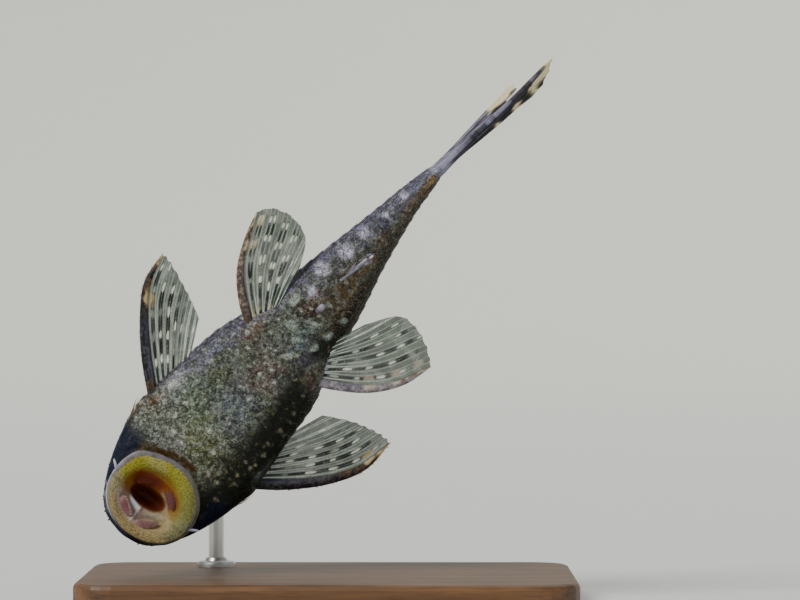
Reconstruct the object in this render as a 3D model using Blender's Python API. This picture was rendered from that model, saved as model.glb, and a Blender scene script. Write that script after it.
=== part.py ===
"""A young bristlenose pleco, 80 mm long, as a still display model held by one rod above a flat base.

The fish is modelled in its own frame: x runs tailward from the snout tip, y towards the fish's right side
and z from the belly towards the back. One empty then turns that frame into the display pose, belly to the
front (-Y), head down to the left and tail up to the right. Lengths are metres; MM turns millimetres into
metres.
"""

import math
import random

import bmesh
import bpy
from mathutils import Matrix, Vector

MM = 0.001

# Driving dimensions
STANDARD_LENGTH = 61.3 * MM
TOUCH_GAP = 0.3 * MM
TAIL_LIFT_DEG = 49.3
ROLL_DEG = 4.5
SNOUT_IN_STAND = Vector((-25.6, -7.0, 9.2)) * MM

# The body is three solids, parted behind the gill openings and behind the vent
HEAD_END = 15.3 * MM
TORSO_END = 38.6 * MM

# Body stations: distance behind the snout tip, half width, height of the back, height of the belly, height
# of the widest line, sideways shift of the midline, all in millimetres, then the roundness of the upper and
# of the lower half (2 is an ellipse, more is squarer).
BODY_STATIONS = (
    (0.0, 0.7, 2.3, 1.1, 1.7, -0.1, 2.0, 2.0),
    (0.3, 2.15, 3.0, 0.45, 1.7, -0.1, 2.0, 2.1),
    (0.9, 3.45, 3.9, 0.1, 1.75, -0.15, 2.0, 2.3),
    (1.9, 4.6, 4.9, 0.0, 1.95, -0.15, 2.0, 2.5),
    (3.2, 5.5, 5.9, 0.0, 2.2, -0.15, 2.0, 2.7),
    (5.3, 6.7, 7.3, 0.0, 2.6, -0.1, 2.0, 2.9),
    (8.4, 7.9, 9.2, 0.0, 3.1, -0.1, 2.0, 2.9),
    (11.2, 8.6, 10.5, 0.0, 3.3, -0.1, 2.0, 3.0),
    (14.4, 9.0, 11.6, 0.0, 3.6, 0.0, 1.95, 3.0),
    (17.8, 8.75, 12.4, 0.0, 3.8, 0.0, 1.9, 3.0),
    (21.5, 8.25, 12.8, -0.1, 4.0, 0.0, 1.85, 3.0),
    (26.5, 7.7, 12.6, -0.1, 4.1, 0.15, 1.8, 3.0),
    (29.0, 7.1, 12.2, -0.1, 4.2, 0.25, 1.75, 2.9),
    (31.5, 6.2, 11.7, -0.05, 4.2, 0.25, 1.75, 2.8),
    (34.5, 5.4, 11.1, 0.0, 4.3, 0.25, 1.75, 2.7),
    (38.9, 4.8, 10.1, 0.1, 4.3, 0.2, 1.8, 2.5),
    (42.7, 4.0, 9.4, 0.3, 4.3, 0.1, 1.85, 2.3),
    (46.4, 3.15, 8.8, 0.5, 4.3, 0.0, 1.9, 2.2),
    (53.9, 1.75, 7.8, 0.9, 4.2, 0.0, 2.0, 2.1),
    (58.8, 1.05, 7.4, 0.85, 4.1, 0.25, 2.1, 2.2),
    (61.3, 0.75, 7.5, 0.7, 4.1, 0.35, 2.3, 2.3),
)

# Sections of the head, drawn closer together towards the snout
HEAD_SECTIONS = 16
HEAD_SPACING_POWER = 1.6

# Bony plates: rows by angle round the flank (0 is the widest line, 90 the back), as lower edge, upper edge
# and the place behind the snout where the row starts
PLATE_ROWS = (
    (-90.0, -62.0, 45.0 * MM),
    (-62.0, -38.0, 35.5 * MM),
    (-38.0, -14.0, 21.0 * MM),
    (-14.0, 14.0, 17.0 * MM),
    (14.0, 44.0, 17.0 * MM),
    (44.0, 83.0, 17.0 * MM),
)
PLATE_PITCH = 1.76 * MM
PLATE_START = 17.0 * MM
PLATE_RISE = 0.26 * MM
PLATE_STEP = 0.14 * MM
PLATE_BOW = 0.28 * MM
ROW_EDGE_DEG = 0.5
END_CLEARANCE = 0.45 * MM

# Gill cover: its rear edge stands a little proud of the shoulder
FLAP_START = 12.6 * MM
FLAP_RISE = 0.28 * MM
FLAP_LOW_DEG = -62.0
FLAP_HIGH_DEG = 16.0

# Eyes
EYE_RADIUS = 1.6 * MM
EYE_STATION = 12.5 * MM
EYE_SIDE = 5.1 * MM
EYE_SINK = 0.75 * MM
EYE_RIM = 0.4 * MM
EYE_RIM_LIFT = 0.3 * MM

# Cheek spines: rows one above another, every spine longer than the one in front of it
CHEEK_ROWS = 3
CHEEK_SPINES_IN_ROW = 3
CHEEK_START = 9.6 * MM
CHEEK_SPACING = 0.85 * MM
CHEEK_STAGGER = 0.3 * MM
CHEEK_LOW_DEG = 4.0
CHEEK_ROW_STEP_DEG = 11.0
CHEEK_SPREAD_DEG = 2.0
CHEEK_LENGTHS = (1.7 * MM, 2.3 * MM)
CHEEK_RADIUS = 0.26 * MM
CHEEK_ROOT_DEPTH = 0.35 * MM
POINT_RADIUS = 0.05 * MM

# Soft points along the snout's margin
TENTACLES = 12
TENTACLE_SPAN = (0.4 * MM, 6.2 * MM)
TENTACLE_DEG = 24.0
TENTACLE_LENGTH = 0.45 * MM
TENTACLE_RADII = (0.28 * MM, 0.12 * MM)

# Nostrils: two pits a side
NOSTRIL_STATION = 7.4 * MM
NOSTRIL_DEG = 62.0
NOSTRIL_APART = 0.52 * MM
NOSTRIL_RADII = (0.42 * MM, 0.5 * MM, 0.6 * MM)

# Sucker mouth: centre, then reach of the lip margin to the front, rear and sides
DISC_CENTRE = Vector((5.7, -0.12, 0.0)) * MM
DISC_FRONT = 5.15 * MM
DISC_REAR = 5.7 * MM
DISC_SIDE = 6.05 * MM
DISC_SIDES = 32

# Its section, as share of the reach and height in millimetres: from the throat's floor out over the lip,
# then back under the lip to the plug that sits in the head. The recess is what the head gives up below it.
MOUTH_FACE = (
    (0.0, 3.4),
    (0.16, 3.2),
    (0.25, 0.9),
    (0.33, 0.1),
    (0.47, -0.2),
    (0.6, -0.7),
    (0.73, -1.23),
    (0.85, -1.35),
    (0.95, -1.29),
    (1.0, -0.95),
)
MOUTH_UNDERSIDE = ((0.98, -0.55), (0.89, -0.35), (0.84, 0.15), (0.79, 1.7), (0.45, 4.1), (0.0, 4.3))
MOUTH_RECESS = ((0.0, -4.0), (0.94, -4.0), (0.94, -0.25), (0.89, 0.25), (0.84, 2.0), (0.5, 4.4), (0.0, 4.6))

# The throat is an oval: its length and breadth against the lip's, and its shift to the left
THROAT_LENGTH = 0.62
THROAT_BREADTH = 1.45
THROAT_SHIFT = -0.5 * MM

# Tooth-bearing pads: centre in millimetres and heading in degrees
JAWS = (
    ("premaxilla_left", (3.1, -2.15, -0.4), -58.0),
    ("premaxilla_right", (3.1, 1.15, -0.4), 54.0),
    ("dentary_left", (7.45, -2.15, -0.4), 50.0),
    ("dentary_right", (7.3, 1.55, -0.4), -56.0),
)
JAW_RADII = (1.3 * MM, 0.45 * MM, 0.5 * MM)
TEETH_PER_JAW = 6
TEETH_SPAN = 0.78
TOOTH_REACH = 0.55 * MM
TOOTH_DROP = 0.5 * MM
TOOTH_RADII = (0.13 * MM, 0.07 * MM)

# A barbel at each corner of the mouth, from root to tip against the mouth's centre, in millimetres
BARBEL_ROOT = (0.3, 5.7, -1.1)
BARBEL_TIP = (1.2, 7.05, -0.9)
BARBEL_RADII = (0.3 * MM, 0.12 * MM)

# The papilla behind the vent
PAPILLA_PLACE = (37.3, 0.34, -0.2)
PAPILLA_RADII = (0.75 * MM, 0.6 * MM, 0.75 * MM)

# Fins: thickness of the web, height of a ray above it, and thickness at the margin
MEMBRANE = 0.5 * MM
RAY_RISE = 0.3 * MM
MARGIN_THICKNESS = 0.3 * MM
MARGIN_NOTCH = 0.02
SPINE_TAPER = 0.45
SPINE_SECTION = ((0.0, 0.5), (0.3, 1.0), (0.7, 1.0), (1.0, 0.6))
BOW_FADE = 1.6

# Each fin: name, soft rays, rows along a ray, width of its spine, and the direction across its face
FINS = (
    ("pectoral_fin_left", 6, 9, 1.25 * MM, (0.0, 0.0, 1.0)),
    ("pectoral_fin_right", 6, 9, 1.25 * MM, (0.0, 0.0, 1.0)),
    ("pelvic_fin_left", 5, 8, 0.85 * MM, (0.0, 0.0, 1.0)),
    ("pelvic_fin_right", 5, 8, 0.85 * MM, (0.0, 0.0, 1.0)),
    ("dorsal_fin", 7, 8, 0.8 * MM, (0.0, 1.0, 0.0)),
    ("adipose_fin", 1, 4, 0.6 * MM, (0.0, 1.0, 0.0)),
    ("anal_fin", 4, 5, 0.55 * MM, (0.1, 1.0, 0.0)),
    ("caudal_fin", 14, 7, 0.75 * MM, (0.0, 1.0, 0.0)),
)

# Outline of each fin in millimetres: front edge from root to tip, root line, and margin from the tip to the
# last ray. The two sides are held a little differently.
FIN_OUTLINES = {
    "pectoral_fin_left": (
        (
            (13.2, -6.4, 3.0),
            (15.6, -9.4, 3.2),
            (18.2, -12.5, 3.5),
            (21.6, -15.7, 3.9),
            (25.2, -18.2, 4.3),
            (29.8, -18.9, 4.6),
        ),
        ((13.2, -6.4, 3.0), (16.2, -6.4, 2.8), (19.4, -6.4, 2.5)),
        ((29.8, -18.9, 4.6), (29.3, -17.0, 4.2), (28.6, -14.6, 3.8), (27.7, -12.4, 3.4), (26.7, -10.3, 3.1)),
    ),
    "pectoral_fin_right": (
        (
            (13.2, 6.5, 3.0),
            (15.3, 9.6, 3.2),
            (17.9, 12.7, 3.5),
            (21.5, 15.9, 3.9),
            (25.7, 18.15, 4.3),
            (30.4, 18.35, 4.6),
        ),
        ((13.2, 6.5, 3.0), (16.2, 6.5, 2.8), (19.2, 6.5, 2.5)),
        ((30.4, 18.35, 4.6), (30.4, 16.6, 4.2), (29.9, 14.6, 3.8), (29.1, 12.4, 3.4), (27.5, 9.4, 3.1)),
    ),
    "pelvic_fin_left": (
        ((29.3, -4.4, 1.2), (31.3, -7.7, 1.4), (34.2, -10.6, 1.6), (37.7, -12.4, 1.8), (41.5, -13.6, 1.9)),
        ((29.3, -4.4, 1.2), (31.6, -4.0, 1.2), (33.8, -3.6, 1.1)),
        ((41.5, -13.6, 1.9), (43.2, -12.2, 1.8), (43.9, -9.5, 1.7), (42.9, -6.7, 1.5), (39.9, -5.0, 1.4)),
    ),
    "pelvic_fin_right": (
        ((29.0, 4.8, 1.2), (30.8, 8.3, 1.4), (33.5, 12.0, 1.6), (37.0, 14.6, 1.8), (41.0, 15.75, 1.9)),
        ((29.0, 4.8, 1.2), (31.4, 4.2, 1.2), (33.8, 3.6, 1.1)),
        ((41.0, 15.75, 1.9), (42.6, 13.5, 1.8), (43.5, 11.0, 1.7), (43.1, 8.4, 1.6), (39.6, 5.9, 1.4)),
    ),
    "dorsal_fin": (
        ((25.4, 0.1, 11.7), (28.6, 0.2, 15.8), (31.7, 0.3, 19.8), (34.9, 0.4, 23.4)),
        ((25.4, 0.1, 11.7), (31.7, 0.2, 10.6), (38.0, 0.2, 9.3)),
        ((34.9, 0.4, 23.4), (38.4, 0.55, 22.6), (41.4, 0.6, 20.6), (43.6, 0.5, 17.8), (44.4, 0.3, 14.6)),
    ),
    "adipose_fin": (
        ((49.4, 0.0, 7.4), (51.3, 0.0, 9.2), (53.2, 0.0, 10.5)),
        ((49.4, 0.0, 7.4), (51.2, 0.0, 7.1), (53.2, 0.0, 6.9)),
        ((53.2, 0.0, 10.5), (54.0, 0.0, 9.2), (54.9, 0.0, 7.9)),
    ),
    "anal_fin": (
        ((41.0, 0.1, 1.3), (43.8, 0.5, -0.5), (46.5, 0.85, -1.8)),
        ((41.0, 0.1, 1.3), (42.4, 0.1, 1.3), (43.8, 0.1, 1.4)),
        ((46.5, 0.85, -1.8), (47.0, 0.85, -1.0), (47.2, 0.8, -0.1)),
    ),
    "caudal_fin": (
        ((60.7, 0.35, 1.05), (66.8, 0.8, 0.0), (73.0, 1.4, -0.55), (80.0, 1.78, -0.9)),
        ((60.7, 0.35, 1.05), (60.7, 0.35, 4.1), (60.7, 0.35, 7.15)),
        (
            (80.0, 1.78, -0.9),
            (77.6, 2.25, 1.3),
            (75.6, 2.73, 3.6),
            (74.6, 2.57, 6.0),
            (74.6, 1.87, 8.6),
            (75.2, 0.93, 11.9),
        ),
    ),
}

# Small hooks along the outer half of a pectoral spine
HOOKS = 8
HOOK_SPAN = (0.4, 0.9)
HOOK_OUT = 0.5 * MM
HOOK_ALONG = 0.6 * MM
HOOK_RADIUS = 0.22 * MM

# Stand
BASE_LENGTH = 62.0 * MM
BASE_DEPTH = 40.0 * MM
BASE_THICKNESS = 4.0 * MM
BASE_CORNER = 5.0 * MM
BASE_EDGE = 0.6 * MM
ROD_RADIUS = 1.0 * MM
ROD_STATION = 17.6 * MM
ROD_BEND = 5.0 * MM
ROD_BEND_STEPS = 8
ROD_REACH = 7.0 * MM
ROD_OVERLAP = 1.2 * MM
WELD = 0.001 * MM


def clear_scene():
    """Remove whatever the file opened with."""
    for item in list(bpy.data.objects):
        bpy.data.objects.remove(item, do_unlink=True)


def new_collection(name):
    """A collection linked under the scene."""
    made = bpy.data.collections.new(name)
    bpy.context.scene.collection.children.link(made)
    return made


def plain_material(name, colour, roughness, metallic=0.0):
    """A Principled material of one colour."""
    made = bpy.data.materials.new(name)
    made.use_nodes = True
    shader = made.node_tree.nodes["Principled BSDF"]
    shader.inputs["Base Color"].default_value = (*colour, 1.0)
    shader.inputs["Roughness"].default_value = roughness
    shader.inputs["Metallic"].default_value = metallic
    return made


def mix(low, high, share):
    """The value a share of the way from low to high."""
    return low + (high - low) * share


def smooth(share):
    """An ease from 0 to 1 with flat ends."""
    held = min(max(share, 0.0), 1.0)
    return held * held * (3.0 - 2.0 * held)


def through(points, x):
    """A monotone cubic through (x, value) points, read at one x."""
    if x <= points[0][0]:
        return points[0][1]
    if x >= points[-1][0]:
        return points[-1][1]
    slopes = [
        (points[i + 1][1] - points[i][1]) / (points[i + 1][0] - points[i][0])
        for i in range(len(points) - 1)
    ]

    def tangent(i):
        if i == 0:
            return slopes[0]
        if i == len(points) - 1:
            return slopes[-1]
        before, after = slopes[i - 1], slopes[i]
        if before * after <= 0.0:
            return 0.0
        return 2.0 * before * after / (before + after)

    i = max(k for k in range(len(points) - 1) if points[k][0] <= x)
    span = points[i + 1][0] - points[i][0]
    t = (x - points[i][0]) / span
    low, high = points[i][1], points[i + 1][1]
    return (
        low * (1 + 2 * t) * (1 - t) ** 2
        + tangent(i) * span * t * (1 - t) ** 2
        + high * t * t * (3 - 2 * t)
        + tangent(i + 1) * span * t * t * (t - 1)
    )


def station_value(x, column):
    """One column of BODY_STATIONS, smoothed along the body. Lengths come back in metres."""
    unit = MM if column < 6 else 1.0
    points = [(row[0] * MM, row[column] * unit) for row in BODY_STATIONS]
    return through(points, x)


def body_point(x, angle_deg, rise=0.0):
    """A point on the skin. The angle runs round the section, 0 at the fish's right and 90 at the back."""
    half_width, back, belly, widest, shift, upper, lower = (
        station_value(x, column) for column in range(1, 8)
    )
    angle = math.radians(angle_deg)
    across, up = math.cos(angle), math.sin(angle)
    power = 2.0 / (upper if up >= 0.0 else lower)
    reach = (back - widest) if up >= 0.0 else (widest - belly)
    y = (half_width + rise) * math.copysign(abs(across) ** power, across)
    z = (reach + rise) * math.copysign(abs(up) ** power, up)
    return Vector((x, y + shift, z + widest))


def body_normal(x, angle_deg):
    """The outward direction of the skin at a point."""
    step = 0.2 * MM
    along = body_point(x + step, angle_deg) - body_point(x - step, angle_deg)
    round_it = body_point(x, angle_deg + 1.0) - body_point(x, angle_deg - 1.0)
    normal = round_it.cross(along)
    if normal.dot(body_point(x, angle_deg) - Vector((x, 0.0, station_value(x, 4)))) < 0.0:
        normal.negate()
    return normal.normalized()


def half_section_angles():
    """Angles up one side, from the belly's midline to the back's, with every plate row's edges among them."""
    angles = []
    for low, high, _ in PLATE_ROWS:
        angles += [low, mix(low, high, 1 / 3), mix(low, high, 2 / 3)]
    return angles + [PLATE_ROWS[-1][1], 90.0]


def section_angles():
    """Angles right round the body."""
    right = half_section_angles()
    left = [180.0 - angle for angle in reversed(right[1:-1])]
    return right + left


def folded(angle_deg):
    """The angle on the fish's right side that mirrors this one."""
    return angle_deg if angle_deg <= 90.0 else 180.0 - angle_deg


def plate_crown(x, angle_deg):
    """1 over the middle of a plate row that has begun, and 0 on bare skin and along a row's edges."""
    angle = folded(angle_deg)
    for low, high, row_start in PLATE_ROWS:
        if low + ROW_EDGE_DEG < angle < high - ROW_EDGE_DEG:
            return 1.0 if x >= row_start else 0.0
    return 0.0


def flap_rise(x, angle_deg):
    """How far the gill cover's rear edge stands out at a place."""
    angle = folded(angle_deg)
    if x > HEAD_END or not FLAP_LOW_DEG - 1.0 < angle < FLAP_HIGH_DEG + 1.0:
        return 0.0
    across = (angle - FLAP_LOW_DEG) / (FLAP_HIGH_DEG - FLAP_LOW_DEG)
    return FLAP_RISE * smooth((x - FLAP_START) / (HEAD_END - FLAP_START)) * math.sin(math.pi * across) ** 0.5


def ring(x, rise, plate_share, bowed):
    """One section of the body. A plated ring rises by its share of a plate and bows back over each row."""
    points = []
    for angle in section_angles():
        crown = plate_crown(x, angle)
        lift = rise + PLATE_RISE * plate_share * crown + flap_rise(x, angle)
        point = body_point(x, angle, lift)
        if bowed:
            point.x += PLATE_BOW * (crown - 0.5)
        points.append(point)
    return points


def body_rings(start, end, rise=0.0):
    """The sections from start to end: close at the snout, then two for each plate."""
    rings = []
    if start < PLATE_START:
        for k in range(HEAD_SECTIONS + 1):
            x = HEAD_END * (k / HEAD_SECTIONS) ** HEAD_SPACING_POWER
            if start <= x <= end:
                rings.append(ring(x, rise, 0.0, False))
    count = int((STANDARD_LENGTH - PLATE_START) / PLATE_PITCH)
    for k in range(count + 1):
        front = PLATE_START + k * PLATE_PITCH
        rear = front + PLATE_PITCH - PLATE_STEP
        if start + END_CLEARANCE < front < end - END_CLEARANCE:
            rings.append(ring(front, rise, 0.0, k > 0))
        if start + END_CLEARANCE < rear < end - END_CLEARANCE:
            rings.append(ring(rear, rise, 1.0, True))
    if not rings or rings[0][0].x > start + END_CLEARANCE / 2:
        rings.insert(0, ring(start, rise, 0.3, False))
    if rings[-1][0].x < end - END_CLEARANCE / 2:
        rings.append(ring(end, rise, 0.5, False))
    return rings


def mesh_object(name, points, faces, collection):
    """A new mesh object with its normals facing out."""
    mesh = bpy.data.meshes.new(name)
    mesh.from_pydata([tuple(point) for point in points], [], faces)
    made = bpy.data.objects.new(name, mesh)
    collection.objects.link(made)
    face_out(mesh)
    return made


def face_out(mesh):
    """Turn every face of a closed mesh outward."""
    shape = bmesh.new()
    shape.from_mesh(mesh)
    bmesh.ops.recalc_face_normals(shape, faces=shape.faces)
    if shape.calc_volume(signed=True) < 0.0:
        bmesh.ops.reverse_faces(shape, faces=shape.faces)
    shape.to_mesh(mesh)
    shape.free()


def loft(name, rings, collection):
    """A closed skin over sections that share one count of points, with flat ends."""
    size = len(rings[0])
    points = [point for section in rings for point in section]
    faces = []
    for i in range(len(rings) - 1):
        for j in range(size):
            k = (j + 1) % size
            faces.append((i * size + j, i * size + k, (i + 1) * size + k, (i + 1) * size + j))
    faces.append(tuple(range(size)))
    faces.append(tuple((len(rings) - 1) * size + j for j in range(size)))
    return mesh_object(name, points, faces, collection)


def evaluated_copy(item):
    """The mesh that an object's modifiers make, in its own frame."""
    graph = bpy.context.evaluated_depsgraph_get()
    graph.update()
    return bpy.data.meshes.new_from_object(item.evaluated_get(graph))


def keep_largest(mesh):
    """Drop every closed surface of a mesh but the largest."""
    shape = bmesh.new()
    shape.from_mesh(mesh)
    unseen = set(shape.verts)
    bodies = []
    while unseen:
        stack = [unseen.pop()]
        found = set(stack)
        while stack:
            for edge in stack.pop().link_edges:
                for other in edge.verts:
                    if other not in found:
                        found.add(other)
                        stack.append(other)
        unseen -= found
        bodies.append(found)
    bodies.sort(key=len, reverse=True)
    for body in bodies[1:]:
        bmesh.ops.delete(shape, geom=list(body), context="VERTS")
    shape.to_mesh(mesh)
    shape.free()


def settle(item):
    """Apply an object's modifiers, and keep its largest closed surface."""
    mesh = evaluated_copy(item)
    item.modifiers.clear()
    old = item.data
    item.data = mesh
    bpy.data.meshes.remove(old)
    keep_largest(mesh)


def join_pieces(item, pieces):
    """Fuse closed pieces into an object with one union, then remove them."""
    group = bpy.data.collections.new(item.name + "_pieces")
    bpy.context.scene.collection.children.link(group)
    for piece in pieces:
        for holder in list(piece.users_collection):
            holder.objects.unlink(piece)
        group.objects.link(piece)
    union = item.modifiers.new("union", "BOOLEAN")
    union.operation = "UNION"
    union.operand_type = "COLLECTION"
    union.collection = group
    union.solver = "EXACT"
    settle(item)
    for piece in list(group.objects):
        bpy.data.objects.remove(piece, do_unlink=True)
    bpy.data.collections.remove(group)


def cut(item, cutters):
    """Cut closed shapes out of an object, and keep its largest surface."""
    for cutter in cutters:
        hollow = item.modifiers.new("cut", "BOOLEAN")
        hollow.operation = "DIFFERENCE"
        hollow.object = cutter
        hollow.solver = "EXACT"
    settle(item)


def as_cutter(item):
    """Mark a helper so that it is never part of the model."""
    item.hide_render = True
    item.display_type = "WIRE"
    return item


def ball(name, centre, radii, collection, segments, rings, turn=None):
    """An ellipsoid from a UV sphere."""
    mesh = bpy.data.meshes.new(name)
    shape = bmesh.new()
    bmesh.ops.create_uvsphere(shape, u_segments=segments, v_segments=rings, radius=1.0)
    size = Matrix.Diagonal((*radii, 1.0))
    place = Matrix.Translation(centre) @ (turn or Matrix.Identity(4)) @ size
    bmesh.ops.transform(shape, matrix=place, verts=shape.verts)
    shape.to_mesh(mesh)
    shape.free()
    made = bpy.data.objects.new(name, mesh)
    collection.objects.link(made)
    return made


def spike(name, root, tip, radii, sides, collection):
    """A tapered spine from root to tip, its radii given at both ends."""
    mesh = bpy.data.meshes.new(name)
    shape = bmesh.new()
    along = tip - root
    bmesh.ops.create_cone(
        shape, cap_ends=True, segments=sides, radius1=radii[0], radius2=radii[1], depth=along.length
    )
    turn = along.to_track_quat("Z", "Y").to_matrix().to_4x4()
    place = Matrix.Translation((root + tip) / 2) @ turn
    bmesh.ops.transform(shape, matrix=place, verts=shape.verts)
    shape.to_mesh(mesh)
    shape.free()
    made = bpy.data.objects.new(name, mesh)
    collection.objects.link(made)
    return made


class Fin:
    """A fan of rays with a membrane, from a root line in the body to a free margin.

    leading is the front edge as a function of the share along it. root and margin are functions of the
    share across the fin, 0 at the front edge and 1 at the last ray. lift stands on the fin's face. The tail
    fin has two spines: its last ray is as stout as its first.
    """

    def __init__(self, name, rays, rows, spine_width, lift):
        self.name = name
        self.rays = rays
        self.rows = rows
        self.spine_width = spine_width
        self.lift = Vector(lift).normalized()
        self.leading, self.root, self.margin = (
            arc_through([at(*place) for place in line]) for line in FIN_OUTLINES[name]
        )
        self.two_spines = name == "caudal_fin"

    def sheet(self, share, along):
        """A place on the fin's middle sheet. The front edge's bow fades out towards the last ray."""
        straight = self.root(share).lerp(self.margin(share), along)
        bow = self.leading(along) - self.root(0.0).lerp(self.margin(0.0), along)
        return straight + bow * (1.0 - share) ** BOW_FADE

    def columns(self, along):
        """Share across the fin and half thickness of each column: spine, rays and the web between them."""
        span = (self.sheet(1.0, along) - self.sheet(0.0, along)).length
        width = min(self.spine_width * mix(1.0, SPINE_TAPER, along) / span, 0.5)
        thinning = smooth((along - 0.5) / 0.5)
        spine = mix(self.spine_width, self.spine_width * SPINE_TAPER, along) / 2
        web = mix(MEMBRANE, MARGIN_THICKNESS, thinning) / 2
        ridge = web + mix(RAY_RISE, RAY_RISE * 0.2, thinning) / 2
        found = [(width * place, max(spine * depth, web)) for place, depth in SPINE_SECTION]
        last = 1.0 - width if self.two_spines else 1.0
        for k in range(self.rays):
            found.append((mix(width, last, (k + 0.6) / (self.rays + 0.2)), ridge))
            found.append((mix(width, last, (k + 1.1) / (self.rays + 0.2)), web))
        if self.two_spines:
            found.pop()
            for place, depth in reversed(SPINE_SECTION):
                found.append((1.0 - width * place, max(spine * depth, web)))
        else:
            found[-1] = (1.0, web)
        return found

    def build(self, collection):
        """The solid fin, with both faces split into triangles alike."""
        width, height = len(self.columns(0.5)), self.rows + 1
        front, back = [], []
        for i in range(height):
            along = i / self.rows
            for j, (share, half) in enumerate(self.columns(along)):
                is_web = 3 < j and j % 2 == 1 and j < width - 4
                reach = 1.0 - MARGIN_NOTCH if is_web and i == height - 1 else along
                centre = self.sheet(share, reach)
                front.append(centre + self.lift * half)
                back.append(centre - self.lift * half)
        offset = len(front)
        faces = []
        for i in range(height - 1):
            for j in range(width - 1):
                a, b = i * width + j, i * width + j + 1
                c, d = (i + 1) * width + j + 1, (i + 1) * width + j
                faces += [(a, b, c), (a, c, d)]
                faces += [(a + offset, c + offset, b + offset), (a + offset, d + offset, c + offset)]
        rim = [(0, j) for j in range(width)]
        rim += [(i, width - 1) for i in range(1, height)]
        rim += [(height - 1, j) for j in range(width - 2, -1, -1)]
        rim += [(i, 0) for i in range(height - 2, 0, -1)]
        for k, (row, column) in enumerate(rim):
            next_row, next_column = rim[(k + 1) % len(rim)]
            p, q = row * width + column, next_row * width + next_column
            faces += [(p, p + offset, q + offset), (p, q + offset, q)]
        return mesh_object(self.name, front + back, faces, collection)


def arc_through(corners):
    """A smooth curve through points given at even shares, as a function of the share."""

    def place(share):
        spans = len(corners) - 1
        scaled = min(max(share, 0.0), 1.0) * spans
        i = min(int(scaled), spans - 1)
        t = scaled - i
        before = corners[i - 1] if i > 0 else corners[0] * 2 - corners[1]
        after = corners[i + 2] if i + 2 <= spans else corners[-1] * 2 - corners[-2]
        low, high = corners[i], corners[i + 1]
        return 0.5 * (
            2 * low
            + (high - before) * t
            + (2 * before - 5 * low + 4 * high - after) * t * t
            + (3 * low - before - 3 * high + after) * t ** 3
        )

    return place


def at(x, y, z):
    """A point of the fish's frame, given in millimetres."""
    return Vector((x, y, z)) * MM


def upright(direction):
    """The turn that stands +Z along a direction."""
    return direction.to_track_quat("Z", "Y").to_matrix().to_4x4()


def on_side(side, angle_deg):
    """An angle of the fish's right side, on the side asked for: 1 is right and -1 is left."""
    return angle_deg if side > 0 else 180.0 - angle_deg


def body_cutter(collection):
    """The whole body swollen by the touching gap. Whatever grows from the body is cut back to it."""
    rings = body_rings(0.0, STANDARD_LENGTH, TOUCH_GAP)
    rings.append([point + Vector((TOUCH_GAP, 0.0, 0.0)) for point in rings[-1]])
    return as_cutter(loft("body_clearance", rings, collection))


def eye_place(side):
    """Centre and outward direction of an eye."""
    angle = on_side(side, math.degrees(math.acos(EYE_SIDE / station_value(EYE_STATION, 1))))
    outward = body_normal(EYE_STATION, angle)
    return body_point(EYE_STATION, angle) - outward * EYE_SINK, outward


def eye_rim(side):
    """The raised rim round one eye."""
    centre, outward = eye_place(side)
    bpy.ops.mesh.primitive_torus_add(
        major_radius=EYE_RADIUS + EYE_RIM * 0.8,
        minor_radius=EYE_RIM,
        major_segments=18,
        minor_segments=6,
        location=(0.0, 0.0, 0.0),
    )
    rim = bpy.context.object
    rim.data.transform(Matrix.Translation(centre + outward * EYE_RIM_LIFT) @ upright(outward))
    return rim


def cheek_spines(side, collection):
    """The cluster of short spines that lies back behind one cheek."""
    draw = random.Random(3 if side > 0 else 4)
    spines = []
    for row in range(CHEEK_ROWS):
        for k in range(CHEEK_SPINES_IN_ROW):
            x = CHEEK_START + CHEEK_SPACING * k + CHEEK_STAGGER * row
            tilt = draw.uniform(-CHEEK_SPREAD_DEG, CHEEK_SPREAD_DEG)
            angle = on_side(side, CHEEK_LOW_DEG + CHEEK_ROW_STEP_DEG * row + tilt)
            outward = body_normal(x, angle)
            lean = (Vector((0.8, 0.0, 0.0)) + outward * 0.6).normalized()
            root = body_point(x, angle) - outward * CHEEK_ROOT_DEPTH
            tip = root + lean * mix(*CHEEK_LENGTHS, k / (CHEEK_SPINES_IN_ROW - 1))
            spines.append(spike("cheek_spine", root, tip, (CHEEK_RADIUS, POINT_RADIUS), 5, collection))
    return spines


def snout_tentacles(collection):
    """Short soft points along the snout's margin."""
    draw = random.Random(11)
    points = []
    for k in range(TENTACLES):
        place = mix(-1.0, 1.0, k / (TENTACLES - 1))
        x = mix(*TENTACLE_SPAN, abs(place) ** 1.4)
        angle = on_side(place, TENTACLE_DEG)
        lean = (body_normal(x, angle) + Vector((-0.35, 0.0, 0.1))).normalized()
        root = body_point(x, angle)
        tip = root + lean * TENTACLE_LENGTH * draw.uniform(0.85, 1.25)
        points.append(spike("tentacle", root - lean * TENTACLE_LENGTH, tip, TENTACLE_RADII, 6, collection))
    return points


def nostril_pits(side, collection):
    """The two openings of one nostril, a thin flap apart."""
    angle = on_side(side, NOSTRIL_DEG)
    surface, outward = body_point(NOSTRIL_STATION, angle), body_normal(NOSTRIL_STATION, angle)
    pits = []
    for step in (-NOSTRIL_APART, NOSTRIL_APART):
        centre = surface + Vector((step, 0.0, 0.0)) + outward * 0.1 * MM
        pits.append(as_cutter(ball("nostril", centre, NOSTRIL_RADII, collection, 10, 6)))
    return pits


def disc_reach(angle):
    """How far the lip margin stands from the mouth's centre. Angle 0 points tailward."""
    along = DISC_REAR if math.cos(angle) >= 0.0 else DISC_FRONT
    return 1.0 / math.sqrt((math.cos(angle) / along) ** 2 + (math.sin(angle) / DISC_SIDE) ** 2)


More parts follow.
